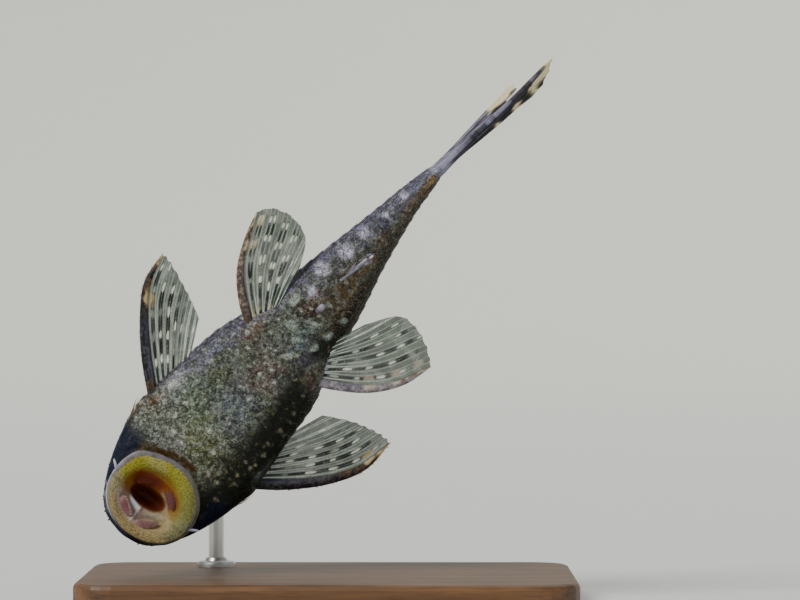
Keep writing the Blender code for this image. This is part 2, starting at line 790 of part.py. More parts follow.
def throat_stretch(share):
    """How much shorter, how much broader and how far to the side the mouth is at a share of its reach."""
    outward = smooth((share - 0.2) / 0.35)
    return mix(THROAT_LENGTH, 1.0, outward), mix(THROAT_BREADTH, 1.0, outward), mix(THROAT_SHIFT, 0.0, outward)


def turned_disc(name, section, collection):
    """A closed shape turned about the mouth's centre, from a section that starts and ends on its axis."""
    shift = throat_stretch(0.0)[2]
    points = [DISC_CENTRE + Vector((0.0, shift, section[0][1] * MM))]
    for share, height in section[1:-1]:
        length, breadth, shift = throat_stretch(share)
        for k in range(DISC_SIDES):
            angle = 2.0 * math.pi * k / DISC_SIDES
            reach = disc_reach(angle) * share
            across = reach * math.sin(angle) * breadth + shift
            points.append(DISC_CENTRE + Vector((reach * math.cos(angle) * length, across, height * MM)))
    points.append(DISC_CENTRE + Vector((0.0, throat_stretch(0.0)[2], section[-1][1] * MM)))
    last = len(points) - 1
    bands = len(section) - 2
    faces = []
    for k in range(DISC_SIDES):
        j = (k + 1) % DISC_SIDES
        faces.append((0, 1 + k, 1 + j))
        faces.append((last, 1 + (bands - 1) * DISC_SIDES + j, 1 + (bands - 1) * DISC_SIDES + k))
        for band in range(bands - 1):
            a, b = 1 + band * DISC_SIDES + k, 1 + band * DISC_SIDES + j
            faces.append((a, a + DISC_SIDES, b + DISC_SIDES, b))
    return mesh_object(name, points, faces, collection)


def jaw_turn(heading_deg):
    """The turn that lays a jaw pad's long side along a heading."""
    return Matrix.Rotation(math.radians(heading_deg), 4, "Z")


def build_jaw(name, centre, heading_deg, collection, helpers):
    """One tooth-bearing pad with its comb of teeth leaning towards the throat."""
    turn = jaw_turn(heading_deg)
    pad = ball(name, centre, JAW_RADII, collection, 10, 6, turn)
    inward = (Vector((DISC_CENTRE.x, DISC_CENTRE.y, 0.0)) - Vector((centre.x, centre.y, 0.0))).normalized()
    along = turn @ Vector((1.0, 0.0, 0.0))
    teeth = []
    for k in range(TEETH_PER_JAW):
        share = mix(-TEETH_SPAN, TEETH_SPAN, k / (TEETH_PER_JAW - 1))
        sunk = Vector((0.0, 0.0, -0.18 * MM * math.sqrt(1.0 - share ** 2)))
        root = centre + along * share * JAW_RADII[0] + sunk + inward * 0.1 * MM
        tip = root + inward * TOOTH_REACH - Vector((0.0, 0.0, TOOTH_DROP))
        teeth.append(spike("tooth", root, tip, TOOTH_RADII, 5, helpers))
    join_pieces(pad, teeth)
    return pad


def build_head(collection, helpers):
    """Head with eye rims, cheek spines, snout points, nostrils, eye sockets and the mouth's recess."""
    head = loft("head", body_rings(0.0, HEAD_END), collection)
    pieces = snout_tentacles(helpers)
    for side in (1, -1):
        pieces.append(eye_rim(side))
        pieces += cheek_spines(side, helpers)
    join_pieces(head, pieces)
    cutters = [as_cutter(turned_disc("mouth_recess", MOUTH_RECESS, helpers))]
    for side in (1, -1):
        reach = EYE_RADIUS + TOUCH_GAP
        cutters.append(as_cutter(ball("socket", eye_place(side)[0], [reach] * 3, helpers, 18, 10)))
        cutters += nostril_pits(side, helpers)
    cut(head, cutters)
    return head


def build_oral_disc(collection, helpers):
    """Both lips of the sucker mouth with a barbel at each corner, hollowed for the four jaws."""
    disc = turned_disc("oral_disc", MOUTH_FACE + MOUTH_UNDERSIDE, collection)
    barbels = []
    for side in (1, -1):
        mirrored = Matrix.Diagonal((1.0, side, 1.0))
        root = DISC_CENTRE + mirrored @ at(*BARBEL_ROOT)
        tip = DISC_CENTRE + mirrored @ at(*BARBEL_TIP)
        barbels.append(spike("barbel", root, tip, BARBEL_RADII, 7, helpers))
    join_pieces(disc, barbels)
    bed_radii = [radius + TOUCH_GAP for radius in JAW_RADII]
    beds = [
        as_cutter(ball(name + "_bed", at(*centre), bed_radii, helpers, 12, 8, jaw_turn(heading)))
        for name, centre, heading in JAWS
    ]
    cut(disc, beds)
    return disc


def build_eye(name, side, collection):
    """An eyeball, its pole turned outward."""
    centre, outward = eye_place(side)
    return ball(name, centre, [EYE_RADIUS] * 3, collection, 18, 10, upright(outward))


def spine_hooks(fin, collection):
    """Small hooked points along the outer half of a pectoral spine."""
    hooks = []
    for k in range(HOOKS):
        along = mix(*HOOK_SPAN, k / (HOOKS - 1))
        root = fin.sheet(0.03, along)
        ahead = (fin.sheet(0.0, along) - fin.sheet(0.1, along)).normalized()
        tipward = (fin.sheet(0.0, along + 0.03) - fin.sheet(0.0, along)).normalized()
        tip = root + ahead * HOOK_OUT + tipward * HOOK_ALONG
        hooks.append(spike("hook", root, tip, (HOOK_RADIUS, POINT_RADIUS), 5, collection))
    return hooks


def build_fin(name, rays, rows, spine_width, lift, collection, helpers, clearance):
    """One fin, cut back to the body it grows from."""
    fin = Fin(name, rays, rows, spine_width, lift)
    solid = fin.build(collection)
    if name.startswith("pectoral"):
        join_pieces(solid, spine_hooks(fin, helpers))
    cut(solid, [clearance])
    return solid


def build_papilla(collection, clearance):
    """The small pale papilla behind the vent."""
    papilla = ball("vent_papilla", at(*PAPILLA_PLACE), PAPILLA_RADII, collection, 12, 8)
    cut(papilla, [clearance])
    return papilla


def pose_matrix():
    """Fish's frame to stand's frame: rolled a little to its left, tail lifted, belly to the front."""
    lift = math.radians(TAIL_LIFT_DEG)
    c, s = math.cos(lift), math.sin(lift)
    turn = Matrix(((c, s, 0.0), (0.0, 0.0, 1.0), (s, -c, 0.0))).to_4x4()
    roll = Matrix.Rotation(math.radians(ROLL_DEG), 4, "X")
    return Matrix.Translation(SNOUT_IN_STAND) @ turn @ roll


def build_base(collection):
    """The flat base, its corners rounded and its upper edge eased."""
    shape = bmesh.new()
    bmesh.ops.create_cube(shape, size=1.0)
    size = Matrix.Diagonal((BASE_LENGTH, BASE_DEPTH, BASE_THICKNESS, 1.0))
    lifted = Matrix.Translation((0.0, 0.0, BASE_THICKNESS / 2))
    bmesh.ops.transform(shape, matrix=lifted @ size, verts=shape.verts)
    corners = [e for e in shape.edges if abs(e.verts[0].co.z - e.verts[1].co.z) > BASE_THICKNESS / 2]
    bmesh.ops.bevel(shape, geom=corners, offset=BASE_CORNER, segments=6, profile=0.5, affect="EDGES")
    top = [e for e in shape.edges if all(v.co.z > BASE_THICKNESS - WELD for v in e.verts)]
    bmesh.ops.bevel(shape, geom=top, offset=BASE_EDGE, segments=2, profile=0.5, affect="EDGES")
    mesh = bpy.data.meshes.new("stand_base")
    shape.to_mesh(mesh)
    shape.free()
    base = bpy.data.objects.new("stand_base", mesh)
    collection.objects.link(base)
    return base


def rod_path():
    """The rod's line: up from the base behind the head, then forward to the nape."""
    nape = pose_matrix() @ Vector((ROD_STATION, 0.0, station_value(ROD_STATION, 2)))
    behind = nape.y + ROD_REACH
    path = [Vector((nape.x, behind, BASE_THICKNESS + TOUCH_GAP))]
    for k in range(ROD_BEND_STEPS + 1):
        turn = math.radians(90.0) * k / ROD_BEND_STEPS
        back = behind - ROD_BEND * (1.0 - math.cos(turn))
        path.append(Vector((nape.x, back, nape.z - ROD_BEND * (1.0 - math.sin(turn)))))
    path.append(Vector((nape.x, nape.y - ROD_OVERLAP, nape.z)))
    return path


def build_rod(collection, clearance):
    """The steel rod, its front end shaped to the nape."""
    path = rod_path()
    curve = bpy.data.curves.new("rod_line", "CURVE")
    curve.dimensions = "3D"
    curve.bevel_depth = ROD_RADIUS
    curve.bevel_resolution = 3
    curve.use_fill_caps = True
    spline = curve.splines.new("POLY")
    spline.points.add(len(path) - 1)
    for point, place in zip(spline.points, path):
        point.co = (*place, 1.0)
    wire = bpy.data.objects.new("rod_line", curve)
    collection.objects.link(wire)
    mesh = evaluated_copy(wire)
    bpy.data.objects.remove(wire, do_unlink=True)
    shape = bmesh.new()
    shape.from_mesh(mesh)
    bmesh.ops.remove_doubles(shape, verts=shape.verts, dist=WELD)
    shape.to_mesh(mesh)
    shape.free()
    face_out(mesh)
    rod = bpy.data.objects.new("stand_rod", mesh)
    collection.objects.link(rod)
    cut(rod, [clearance])
    return rod


def dress(items, material):
    """Give each object one material and smooth shading."""
    for item in items:
        item.data.materials.clear()
        item.data.materials.append(material)
        item.data.shade_smooth()


def main():
    """Build every node, then pose the fish over its stand."""
    clear_scene()
    parts = new_collection("bristlenose_pleco")
    helpers = new_collection("cutters")
    clearance = body_cutter(helpers)

    torso = loft("torso", body_rings(HEAD_END + TOUCH_GAP, TORSO_END), parts)
    tail = loft("tail", body_rings(TORSO_END + TOUCH_GAP, STANDARD_LENGTH), parts)
    flesh = [build_head(parts, helpers), torso, tail]
    lips = [build_oral_disc(parts, helpers)]
    papilla = [build_papilla(parts, clearance)]
    jaws = [build_jaw(name, at(*centre), heading, parts, helpers) for name, centre, heading in JAWS]
    eyes = [build_eye("eye_right", 1, parts), build_eye("eye_left", -1, parts)]
    fins = [build_fin(*fin, parts, helpers, clearance) for fin in FINS]
    dress(flesh, plain_material("skin", (0.16, 0.12, 0.09), 0.5))
    dress(lips, plain_material("lip", (0.62, 0.48, 0.16), 0.45))
    dress(papilla, plain_material("papilla", (0.6, 0.56, 0.62), 0.45))
    dress(jaws, plain_material("gum", (0.5, 0.22, 0.18), 0.4))
    dress(eyes, plain_material("eye", (0.05, 0.04, 0.03), 0.1))
    dress(fins, plain_material("fin", (0.3, 0.32, 0.26), 0.4))

    pose = bpy.data.objects.new("display_pose", None)
    parts.objects.link(pose)
    pose.matrix_world = pose_matrix()
    for piece in flesh + lips + papilla + jaws + eyes + fins:
        piece.parent = pose

    clearance.data.transform(pose_matrix())
    dress([build_base(parts)], plain_material("wood", (0.2, 0.11, 0.06), 0.5))
    dress([build_rod(parts, clearance)], plain_material("steel", (0.6, 0.6, 0.6), 0.3, 1.0))
    for helper in list(helpers.objects):
        bpy.data.objects.remove(helper, do_unlink=True)


main()
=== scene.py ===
"""A young bristlenose pleco as a life-size display model, belly to the viewer, on a wooden base.

Every shape is worked out in the fish's own frame, in millimetres: x runs tailward from the snout tip, y
towards the fish's right side and z from the belly towards the back. Pose turns that frame into the stand's.
Angles round the body are in degrees, 0 at the widest line of the right side and 90 at the back.
"""

from __future__ import annotations

import logging
import math
from dataclasses import dataclass, field
from enum import Enum

import bpy
import numpy as np
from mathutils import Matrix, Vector

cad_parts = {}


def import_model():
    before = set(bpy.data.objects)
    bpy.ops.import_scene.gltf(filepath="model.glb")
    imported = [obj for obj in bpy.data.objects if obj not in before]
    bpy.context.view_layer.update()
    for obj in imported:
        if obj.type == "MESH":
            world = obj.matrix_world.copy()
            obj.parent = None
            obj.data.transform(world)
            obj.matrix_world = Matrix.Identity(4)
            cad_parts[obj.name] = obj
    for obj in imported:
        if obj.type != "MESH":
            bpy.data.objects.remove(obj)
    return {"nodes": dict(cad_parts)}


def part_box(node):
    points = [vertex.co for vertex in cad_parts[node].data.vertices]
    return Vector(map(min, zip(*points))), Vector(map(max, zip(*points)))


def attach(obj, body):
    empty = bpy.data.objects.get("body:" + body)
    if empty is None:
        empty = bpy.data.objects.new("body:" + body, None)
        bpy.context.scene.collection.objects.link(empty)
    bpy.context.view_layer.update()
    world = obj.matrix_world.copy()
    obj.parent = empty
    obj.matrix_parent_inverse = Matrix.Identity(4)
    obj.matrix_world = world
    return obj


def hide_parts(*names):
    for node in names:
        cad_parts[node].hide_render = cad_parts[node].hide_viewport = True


Array = np.ndarray
log = logging.getLogger("pleco")

MM = 0.001
# Pose: length without the tail fin, how far the tail is lifted, the roll, and where the snout tip stands
BODY_LENGTH = 61.3
TAIL_LIFT_DEG = 49.3
ROLL_DEG = 4.5
SNOUT_PLACE = (-25.6, -7.0, 9.2)

# Distance behind the snout, half width, back, belly, widest line, sideways shift, upper and lower roundness
STATIONS = np.array(
    (
        (0.0, 0.7, 2.3, 1.1, 1.7, -0.1, 2.0, 2.0),
        (0.3, 2.15, 3.0, 0.45, 1.7, -0.1, 2.0, 2.1),
        (0.9, 3.45, 3.9, 0.1, 1.75, -0.15, 2.0, 2.3),
        (1.9, 4.6, 4.9, 0.0, 1.95, -0.15, 2.0, 2.5),
        (3.2, 5.5, 5.9, 0.0, 2.2, -0.15, 2.0, 2.7),
        (5.3, 6.7, 7.3, 0.0, 2.6, -0.1, 2.0, 2.9),
        (8.4, 7.9, 9.2, 0.0, 3.1, -0.1, 2.0, 2.9),
        (11.2, 8.6, 10.5, 0.0, 3.3, -0.1, 2.0, 3.0),
        (14.4, 9.0, 11.6, 0.0, 3.6, 0.0, 1.95, 3.0),
        (17.8, 8.75, 12.4, 0.0, 3.8, 0.0, 1.9, 3.0),
        (21.5, 8.25, 12.8, -0.1, 4.0, 0.0, 1.85, 3.0),
        (26.5, 7.7, 12.6, -0.1, 4.1, 0.15, 1.8, 3.0),
        (29.0, 7.1, 12.2, -0.1, 4.2, 0.25, 1.75, 2.9),
        (31.5, 6.2, 11.7, -0.05, 4.2, 0.25, 1.75, 2.8),
        (34.5, 5.4, 11.1, 0.0, 4.3, 0.25, 1.75, 2.7),
        (38.9, 4.8, 10.1, 0.1, 4.3, 0.2, 1.8, 2.5),
        (42.7, 4.0, 9.4, 0.3, 4.3, 0.1, 1.85, 2.3),
        (46.4, 3.15, 8.8, 0.5, 4.3, 0.0, 1.9, 2.2),
        (53.9, 1.75, 7.8, 0.9, 4.2, 0.0, 2.0, 2.1),
        (58.8, 1.05, 7.4, 0.85, 4.1, 0.25, 2.1, 2.2),
        (61.3, 0.75, 7.5, 0.7, 4.1, 0.35, 2.3, 2.3),
    )
)

# Rows of bony plates: lower edge, upper edge, where the row starts, and its shift against its neighbours
PLATE_ROWS = (
    (-90.0, -62.0, 45.0, 0.0),
    (-62.0, -38.0, 35.5, 0.5),
    (-38.0, -14.0, 21.0, 0.0),
    (-14.0, 14.0, 17.0, 0.5),
    (14.0, 44.0, 17.0, 0.0),
    (44.0, 83.0, 17.0, 0.5),
)
# Plates: pitch along a row, where the first one begins, how far rear edges bow tailward, the most in a row
PLATE_PITCH = 1.76
PLATE_START = 17.0
PLATE_BOW = 0.55
PLATES_IN_ROW = 26

# Eyes: radius of the ball, station, distance from the middle plane, and how deep the ball's centre lies
EYE_RADIUS = 1.6
EYE_STATION = 12.5
EYE_SIDE = 5.1
EYE_SINK = 0.75

# Nostrils: station, angle of the right one and the left one, and half the gap between the pits of each
NOSTRIL_STATION = 7.4
NOSTRIL_ANGLES = (62.0, 118.0)
NOSTRIL_HALF_GAP = 0.5

# Sucker mouth: centre, and its reach to the front, to the rear and to each side
DISC_X, DISC_Y = 5.7, -0.12
DISC_FRONT, DISC_REAR, DISC_SIDE = 5.15, 5.7, 6.05

VENT_X, VENT_Y = 36.7, 0.34

# Soft cones: rows of points along each, and corners round it
CONE_ROWS, CONE_SIDES = 12, 14

# How far fine grain takes a finish's roughness below and above its own value
SMOOTHER, ROUGHER = 0.08, 0.12


def linear(code: str) -> Array:
    """Turn an sRGB hex colour into linear light.

    Args:
        code: The colour, such as "#a08040".

    Returns:
        Red, green and blue from 0 to 1.
    """
    parts = np.array([int(code[i : i + 2], 16) for i in (1, 3, 5)]) / 255.0
    return np.where(parts <= 0.04045, parts / 12.92, ((parts + 0.055) / 1.055) ** 2.4)


def rgba(code: str) -> tuple[float, ...]:
    """An sRGB hex colour as a socket's linear value."""
    return (*linear(code), 1.0)


def plain(code: str, points: Array) -> Array:
    """One sRGB hex colour for every place, in linear light."""
    return np.broadcast_to(linear(code), points.shape).copy()


def circle(count: int) -> Array:
    """Directions in radians, evenly spaced round a circle."""
    return 2.0 * np.pi * np.arange(count) / count


def mirrored(angle: Array, side: float) -> Array:
    """An angle of the right side, or its mirror on the left where side is not above 0."""
    return angle if side > 0 else 180.0 - angle


def ease(value: Array, start: float, end: float) -> Array:
    """Rise smoothly from 0 at start to 1 at end.

    Args:
        value: The numbers to read.
        start: Where the rise begins.
        end: Where it is over. It may lie below start.

    Returns:
        Shares from 0 to 1.
    """
    held = np.clip((value - start) / (end - start), 0.0, 1.0)
    return held * held * (3.0 - 2.0 * held)


def bell(value: Array, middle: float, width: float) -> Array:
    """A hump of height 1 round a middle."""
    return np.exp(-(((value - middle) / width) ** 2))


def through(knots: Array, values: Array, at: Array) -> Array:
    """Read a monotone cubic through points.

    Args:
        knots: Where the points lie, in order.
        values: Their values.
        at: Where to read.

    Returns:
        The value at each place.
    """
    slopes = np.diff(values) / np.diff(knots)
    before, after = slopes[:-1], slopes[1:]
    same = before * after > 0.0
    total = np.where(same, before + after, 1.0)
    tangents = np.concatenate(([slopes[0]], np.where(same, 2.0 * before * after / total, 0.0), [slopes[-1]]))
    at = np.clip(at, knots[0], knots[-1])
    i = np.clip(np.searchsorted(knots, at, side="right") - 1, 0, len(knots) - 2)
    span = knots[i + 1] - knots[i]
    t = (at - knots[i]) / span
    return (
        values[i] * (1 + 2 * t) * (1 - t) ** 2
        + tangents[i] * span * t * (1 - t) ** 2
        + values[i + 1] * t * t * (3 - 2 * t)
        + tangents[i + 1] * span * t * t * (t - 1)
    )


def arc(corners: Array, share: Array) -> Array:
    """Read a smooth curve through corners set at even shares.

    Args:
        corners: The points, one a row.
        share: Where to read, from 0 to 1.

    Returns:
        A point for each share.
    """
    spans = len(corners) - 1
    padded = np.vstack((2 * corners[0] - corners[1], corners, 2 * corners[-1] - corners[-2]))
    scaled = np.clip(share, 0.0, 1.0) * spans
    i = np.minimum(scaled.astype(int), spans - 1)
    t = (scaled - i)[..., None]
    before, low, high, after = (padded[i + k] for k in range(4))
    return 0.5 * (
        2 * low
        + (high - before) * t
        + (2 * before - 5 * low + 4 * high - after) * t * t
        + (3 * low - before - 3 * high + after) * t**3
    )


def scatter(cell: Array, seed: int) -> Array:
    """A steady random number from 0 to 1 for each whole-number cell."""
    c = cell.astype(np.int64)
    n = (c[..., 0] * 73856093) ^ (c[..., 1] * 19349663) ^ (c[..., 2] * 83492791) ^ (seed * 40503)
    n = ((n ^ (n >> 13)) * 1274126177) & 0x7FFFFFFF
    n = ((n ^ (n >> 15)) * 668265263) & 0x7FFFFFFF
    return ((n ^ (n >> 16)) & 0xFFFFFF) / 0xFFFFFF


def cloud(points: Array, size: float, seed: int) -> Array:
    """Soft noise from 0 to 1.

    Args:
        points: Places in millimetres.
        size: Width of a patch in millimetres.
        seed: Which pattern.

    Returns:
        A number for each place.
    """
    scaled = points / size
    base = np.floor(scaled)
    t = scaled - base
    t = t * t * (3.0 - 2.0 * t)
    total = np.zeros(points.shape[:-1])
    for corner in np.ndindex(2, 2, 2):
        weight = np.prod(np.where(np.array(corner) == 1, t, 1.0 - t), axis=-1)
        total += weight * scatter(base + corner, seed)
    return total


def cells(points: Array, size: float, seed: int, jitter: float = 0.85) -> tuple[Array, Array]:
    """Round grains scattered through space.

    Args:
        points: Places in millimetres.
        size: Spacing of the grains in millimetres.
        seed: Which pattern.
        jitter: How far a grain strays from its cell's middle.

    Returns:
        Distance to the nearest grain as a share of size, and that grain's own random number.
    """
    scaled = points / size
    base = np.floor(scaled)
    nearest = np.full(points.shape[:-1], 9.0)
    own = np.zeros(points.shape[:-1])
    for step in np.ndindex(3, 3, 3):
        cell = base + np.array(step) - 1
        grain = cell + 0.5 + jitter * (
            np.stack([scatter(cell, seed + k) for k in (1, 2, 3)], axis=-1) - 0.5
        )
        gap = np.sqrt(((scaled - grain) ** 2).sum(axis=-1))
        closer = gap < nearest
        nearest = np.where(closer, gap, nearest)
        own = np.where(closer, scatter(cell, seed + 4), own)
    return nearest, own


def stirred(points: Array, size: float, amount: float, seed: int) -> Array:
    """Places pushed about by soft noise, so that patterns read there lose their regular outlines.

    Args:
        points: Places in millimetres.
        size: Width of a swirl in millimetres.
        amount: How far a place may move.
        seed: Which pattern.

    Returns:
        The moved places.
    """
    return points + amount * (np.stack([cloud(points, size, seed + k) for k in range(3)], axis=-1) - 0.5)


def paint(tone: Array, code: str, mask: Array) -> Array:
    """Lay a colour over a tone where a mask is up.

    Args:
        tone: Linear colours, one a row.
        code: The sRGB hex colour to lay on.
        mask: How much of it, from 0 to 1.

    Returns:
        The new linear colours.
    """
    share = np.clip(mask, 0.0, 1.0)[..., None]
    return tone * (1.0 - share) + linear(code) * share


def layered(tone: Array, *layers: tuple[str, Array]) -> Array:
    """Lay several colours over a tone, one after another.

    Args:
        tone: Linear colours, one a row.
        layers: Each one's sRGB hex colour and mask.

    Returns:
        The new linear colours.
    """
    for code, mask in layers:
        tone = paint(tone, code, mask)
    return tone


def spot(x: Array, y: Array, place: tuple[float, ...], soft: float = 0.5) -> Array:
    """An oval patch with a soft edge.

    Args:
        x: Coordinates along the fish.
        y: Coordinates across it.
        place: Centre x and y, half length, half breadth, and turn in degrees if any.
        soft: Width of the edge as a share of the patch.

    Returns:
        1 inside the patch, fading to 0 outside.
    """
    turn = math.radians(place[4]) if len(place) > 4 else 0.0
    dx, dy = x - place[0], y - place[1]
    along = dx * math.cos(turn) + dy * math.sin(turn)
    across = dy * math.cos(turn) - dx * math.sin(turn)
    return ease(np.hypot(along / place[2], across / place[3]), 1.0 + soft / 2, 1.0 - soft / 2)


def disc_swell(turn: Array) -> Array:
    """How much further than its plain oval the mouth disc reaches, by direction in radians from tailward."""
    return 1.0 + 0.035 * bell(np.degrees(turn), 30.0, 70.0) + 0.085 * bell(np.degrees(turn), -56.0, 22.0)


def disc_share(x: Array, y: Array) -> Array:
    """How far out in the mouth disc a place lies, 1 at its margin.

    Args:
        x: Distances tailward of the disc's centre.
        y: Distances to its right.

    Returns:
        The share of the disc's reach in that direction.
    """
    oval = np.hypot(x / np.where(x > 0.0, DISC_REAR, DISC_FRONT), y / DISC_SIDE)
    return oval / disc_swell(np.arctan2(y, x))


def posed(points: Array) -> Array:
    """Places of the fish's frame in millimetres, in the stand's frame in metres."""
    roll, lift = math.radians(ROLL_DEG), math.radians(TAIL_LIFT_DEG)
    x, y, z = points[..., 0], points[..., 1], points[..., 2]
    side = y * math.cos(roll) - z * math.sin(roll)
    deep = y * math.sin(roll) + z * math.cos(roll)
    wide = x * math.cos(lift) + side * math.sin(lift)
    high = x * math.sin(lift) - side * math.cos(lift)
    return (np.stack((wide, deep, high), axis=-1) + np.array(SNOUT_PLACE)) * MM


def normals_of(points: Array, wrap: bool) -> Array:
    """Directions square to a grid of points.

    Args:
        points: The grid, rows by columns.
        wrap: Whether the last column meets the first.

    Returns:
        A unit vector for each point.
    """
    down = np.gradient(points, axis=0)
    across = np.roll(points, -1, 1) - np.roll(points, 1, 1) if wrap else np.gradient(points, axis=1)
    square = np.cross(across, down)
    return square / np.maximum(np.linalg.norm(square, axis=-1, keepdims=True), 1e-12)


@dataclass
class Graph:
    """The nodes of one material while they are laid out."""

    tree: bpy.types.NodeTree
    where: bpy.types.NodeSocket = field(init=False)

    def __post_init__(self) -> None:
        """Read the piece's own coordinates."""
        self.where = self.add("TexCoord", {}).outputs["Object"]

    def add(self, kind: str, settings: dict, links: dict | None = None) -> bpy.types.Node:
        """Add a node with its settings and links.

        Args:
            kind: The shader node's type.
            settings: Values by socket name or property name.
            links: Source sockets by the name or number of the input they feed.

        Returns:
            The new node.
        """
        node = self.tree.nodes.new("ShaderNode" + kind)
        for name, value in settings.items():
            if hasattr(node, name):
                setattr(node, name, value)
        for name, value in settings.items():
            if not hasattr(node, name):
                node.inputs[name].default_value = value
        for name, source in (links or {}).items():
            self.tree.links.new(source, node.inputs[name])
        return node

    def noise(
        self, size: float, detail: float = 3.0, where: bpy.types.NodeSocket | None = None
    ) -> bpy.types.NodeSocket:
        """A noise whose patches are a size in millimetres.

        Args:
            size: Width of a patch.
            detail: How many finer layers it has.
            where: The coordinates it reads, if not the piece's own.

        Returns:
            The noise's value socket.
        """
        where = self.where if where is None else where
        settings = {"Scale": 1.0 / (size * MM), "Detail": detail, "Roughness": 0.6}
        return self.add("TexNoise", settings, {"Vector": where}).outputs["Fac"]

    def spread(self, source: bpy.types.NodeSocket, settings: dict) -> bpy.types.NodeSocket:
        """A socket's values, spread over another range."""
        return self.add("MapRange", settings, {"Value": source}).outputs[0]

    def feed(self, source: bpy.types.NodeSocket, socket: str) -> None:
        """Link a source to one of the shader's own sockets."""
        self.tree.links.new(source, self.tree.nodes["Principled BSDF"].inputs[socket])

    def relief(self, height: bpy.types.NodeSocket, depth: float) -> None:
        """Raise the surface by a height socket, as far as a depth in millimetres."""
        bump = self.add("Bump", {"Strength": 1.0, "Distance": depth * MM}, {"Height": height})
        self.feed(bump.outputs["Normal"], "Normal")


class Surface(Enum):
    """How a piece's real surface was made, which picks its pattern of nodes."""

    SKIN = "skin"
    FIN = "fin"
    WOOD = "wood"
    BRUSHED = "brushed"
    PAINTED = "painted"


@dataclass(frozen=True)
class Finish:
    """One finish. Grain sizes are in millimetres, and the surface says whether colours come from the piece.
    """

    name: str
    surface: Surface
    colour: str = "#808080"
    second: str = "#404040"
    roughness: float = 0.5
    metallic: float = 0.0
    ior: float = 1.4
    coat: float = 0.0
    subsurface: float = 0.0
    grain: float = 0.3
    contrast: float = 0.2
    bump: float = 0.05

    def material(self) -> bpy.types.Material:
        """The finish's material, made once.

        Returns:
            The Blender material.
        """
        found = bpy.data.materials.get(self.name)
        if found:
            return found
        made = bpy.data.materials.new(self.name)
        made.use_nodes = True
        shader = made.node_tree.nodes["Principled BSDF"]
        for socket, value in (
            ("Metallic", self.metallic),
            ("IOR", self.ior),
            ("Coat Weight", self.coat),
            ("Coat Roughness", 0.18),
            ("Subsurface Weight", self.subsurface),
            ("Subsurface Scale", 0.0012),
            ("Roughness", self.roughness),
            ("Base Color", rgba(self.colour)),
        ):
            shader.inputs[socket].default_value = value
        patterns = {
            Surface.SKIN: self._toned,
            Surface.FIN: self._toned,
            Surface.WOOD: self._wooden,
            Surface.BRUSHED: self._brushed,
            Surface.PAINTED: self._painted,
        }
        patterns[self.surface](Graph(made.node_tree))
        return made

    def _sheen(self) -> dict:
        """The range over which fine grain varies the roughness."""
        return {"To Min": self.roughness - SMOOTHER, "To Max": self.roughness + ROUGHER}

    def _toned(self, graph: Graph) -> None:
        """Colours from the piece's own markings, broken up by fine grain.

        Args:
            graph: The material's nodes.
        """
        tone = graph.add("Attribute", {"attribute_name": "tone"})
        fine = graph.noise(self.grain * 0.6, 4.0)
        coarse = graph.noise(self.grain * 1.7)
        shades = [
            graph.spread(
                source, {"From Min": 0.37, "From Max": 0.63, "To Min": 1.0 - depth, "To Max": 1.0 + depth}
            )
            for source, depth in ((fine, self.contrast), (coarse, self.contrast * 0.5))
        ]
        product = graph.add("Math", {"operation": "MULTIPLY"}, {0: shades[0], 1: shades[1]})
        links = {"Vector": tone.outputs["Color"], "Scale": product.outputs[0]}
        colour = graph.add("VectorMath", {"operation": "SCALE"}, links)
        graph.feed(colour.outputs[0], "Base Color")
        graph.relief(fine, self.bump)
        graph.feed(graph.spread(fine, {"From Min": 0.3, "From Max": 0.7, **self._sheen()}), "Roughness")
        if self.surface is Surface.FIN:
            graph.feed(tone.outputs["Alpha"], "Alpha")

    def _wooden(self, graph: Graph) -> None:
        """Straight grain along x, with pores drawn out along it.

        Args:
            graph: The material's nodes.
        """
        long = graph.add("Mapping", {"Scale": (0.08, 1.0, 1.0)}, {"Vector": graph.where}).outputs[0]
        rings = graph.noise(self.grain * 6.0, 4.0, long)
        pores = graph.noise(self.grain, 2.0, long)
        colour = graph.add("ValToRGB", {}, {"Fac": rings})
        stops = colour.color_ramp.elements
        for stop, place, code in ((stops[0], 0.35, self.second), (stops[1], 0.68, self.colour)):
            stop.position = place
            stop.color = rgba(code)
        dark = graph.spread(pores, {"From Min": 0.3, "From Max": 0.5, "To Min": 0.72, "To Max": 1.0})
        links = {6: colour.outputs["Color"], 7: dark}
        mixed = graph.add("Mix", {"data_type": "RGBA", "blend_type": "MULTIPLY", "Factor": 1.0}, links)
        graph.feed(mixed.outputs[2], "Base Color")
        graph.relief(pores, self.bump)

    def _brushed(self, graph: Graph) -> None:
        """Fine lines round a turned rod.

        Args:
            graph: The material's nodes.
        """
        short = graph.add("Mapping", {"Scale": (0.05, 0.05, 1.0)}, {"Vector": graph.where}).outputs[0]
        lines = graph.noise(self.grain, 2.0, short)
        graph.feed(graph.spread(lines, self._sheen()), "Roughness")
        graph.relief(lines, self.bump)

    def _painted(self, graph: Graph) -> None:
        """A matt ground with very faint unevenness."""
        graph.relief(graph.noise(self.grain, 2.0), self.bump)


# Naked and plated fish skin under a thin satin varnish: a dull grainy sheen
FISH_SKIN = Finish(
    "varnished_fish_skin", Surface.SKIN, roughness=0.54, ior=1.22, coat=0.02, grain=0.28, contrast=0.64
)
# Soft lip flesh with fine papillae, which scatters light and has a wet film
LIP_FLESH = Finish(
    "soft_lip_flesh",
    Surface.SKIN,
    roughness=0.56,
    ior=1.24,
    coat=0.06,
    subsurface=0.04,
    grain=0.18,
    contrast=0.14,
    bump=0.02,
)
# Bare gum and throat lining, wetter and smoother than the lip
GUM = Finish(
    "wet_gum", Surface.SKIN, roughness=0.55, ior=1.24, coat=0.05, subsurface=0.04, grain=0.2, contrast=0.16,
    bump=0.012,
)
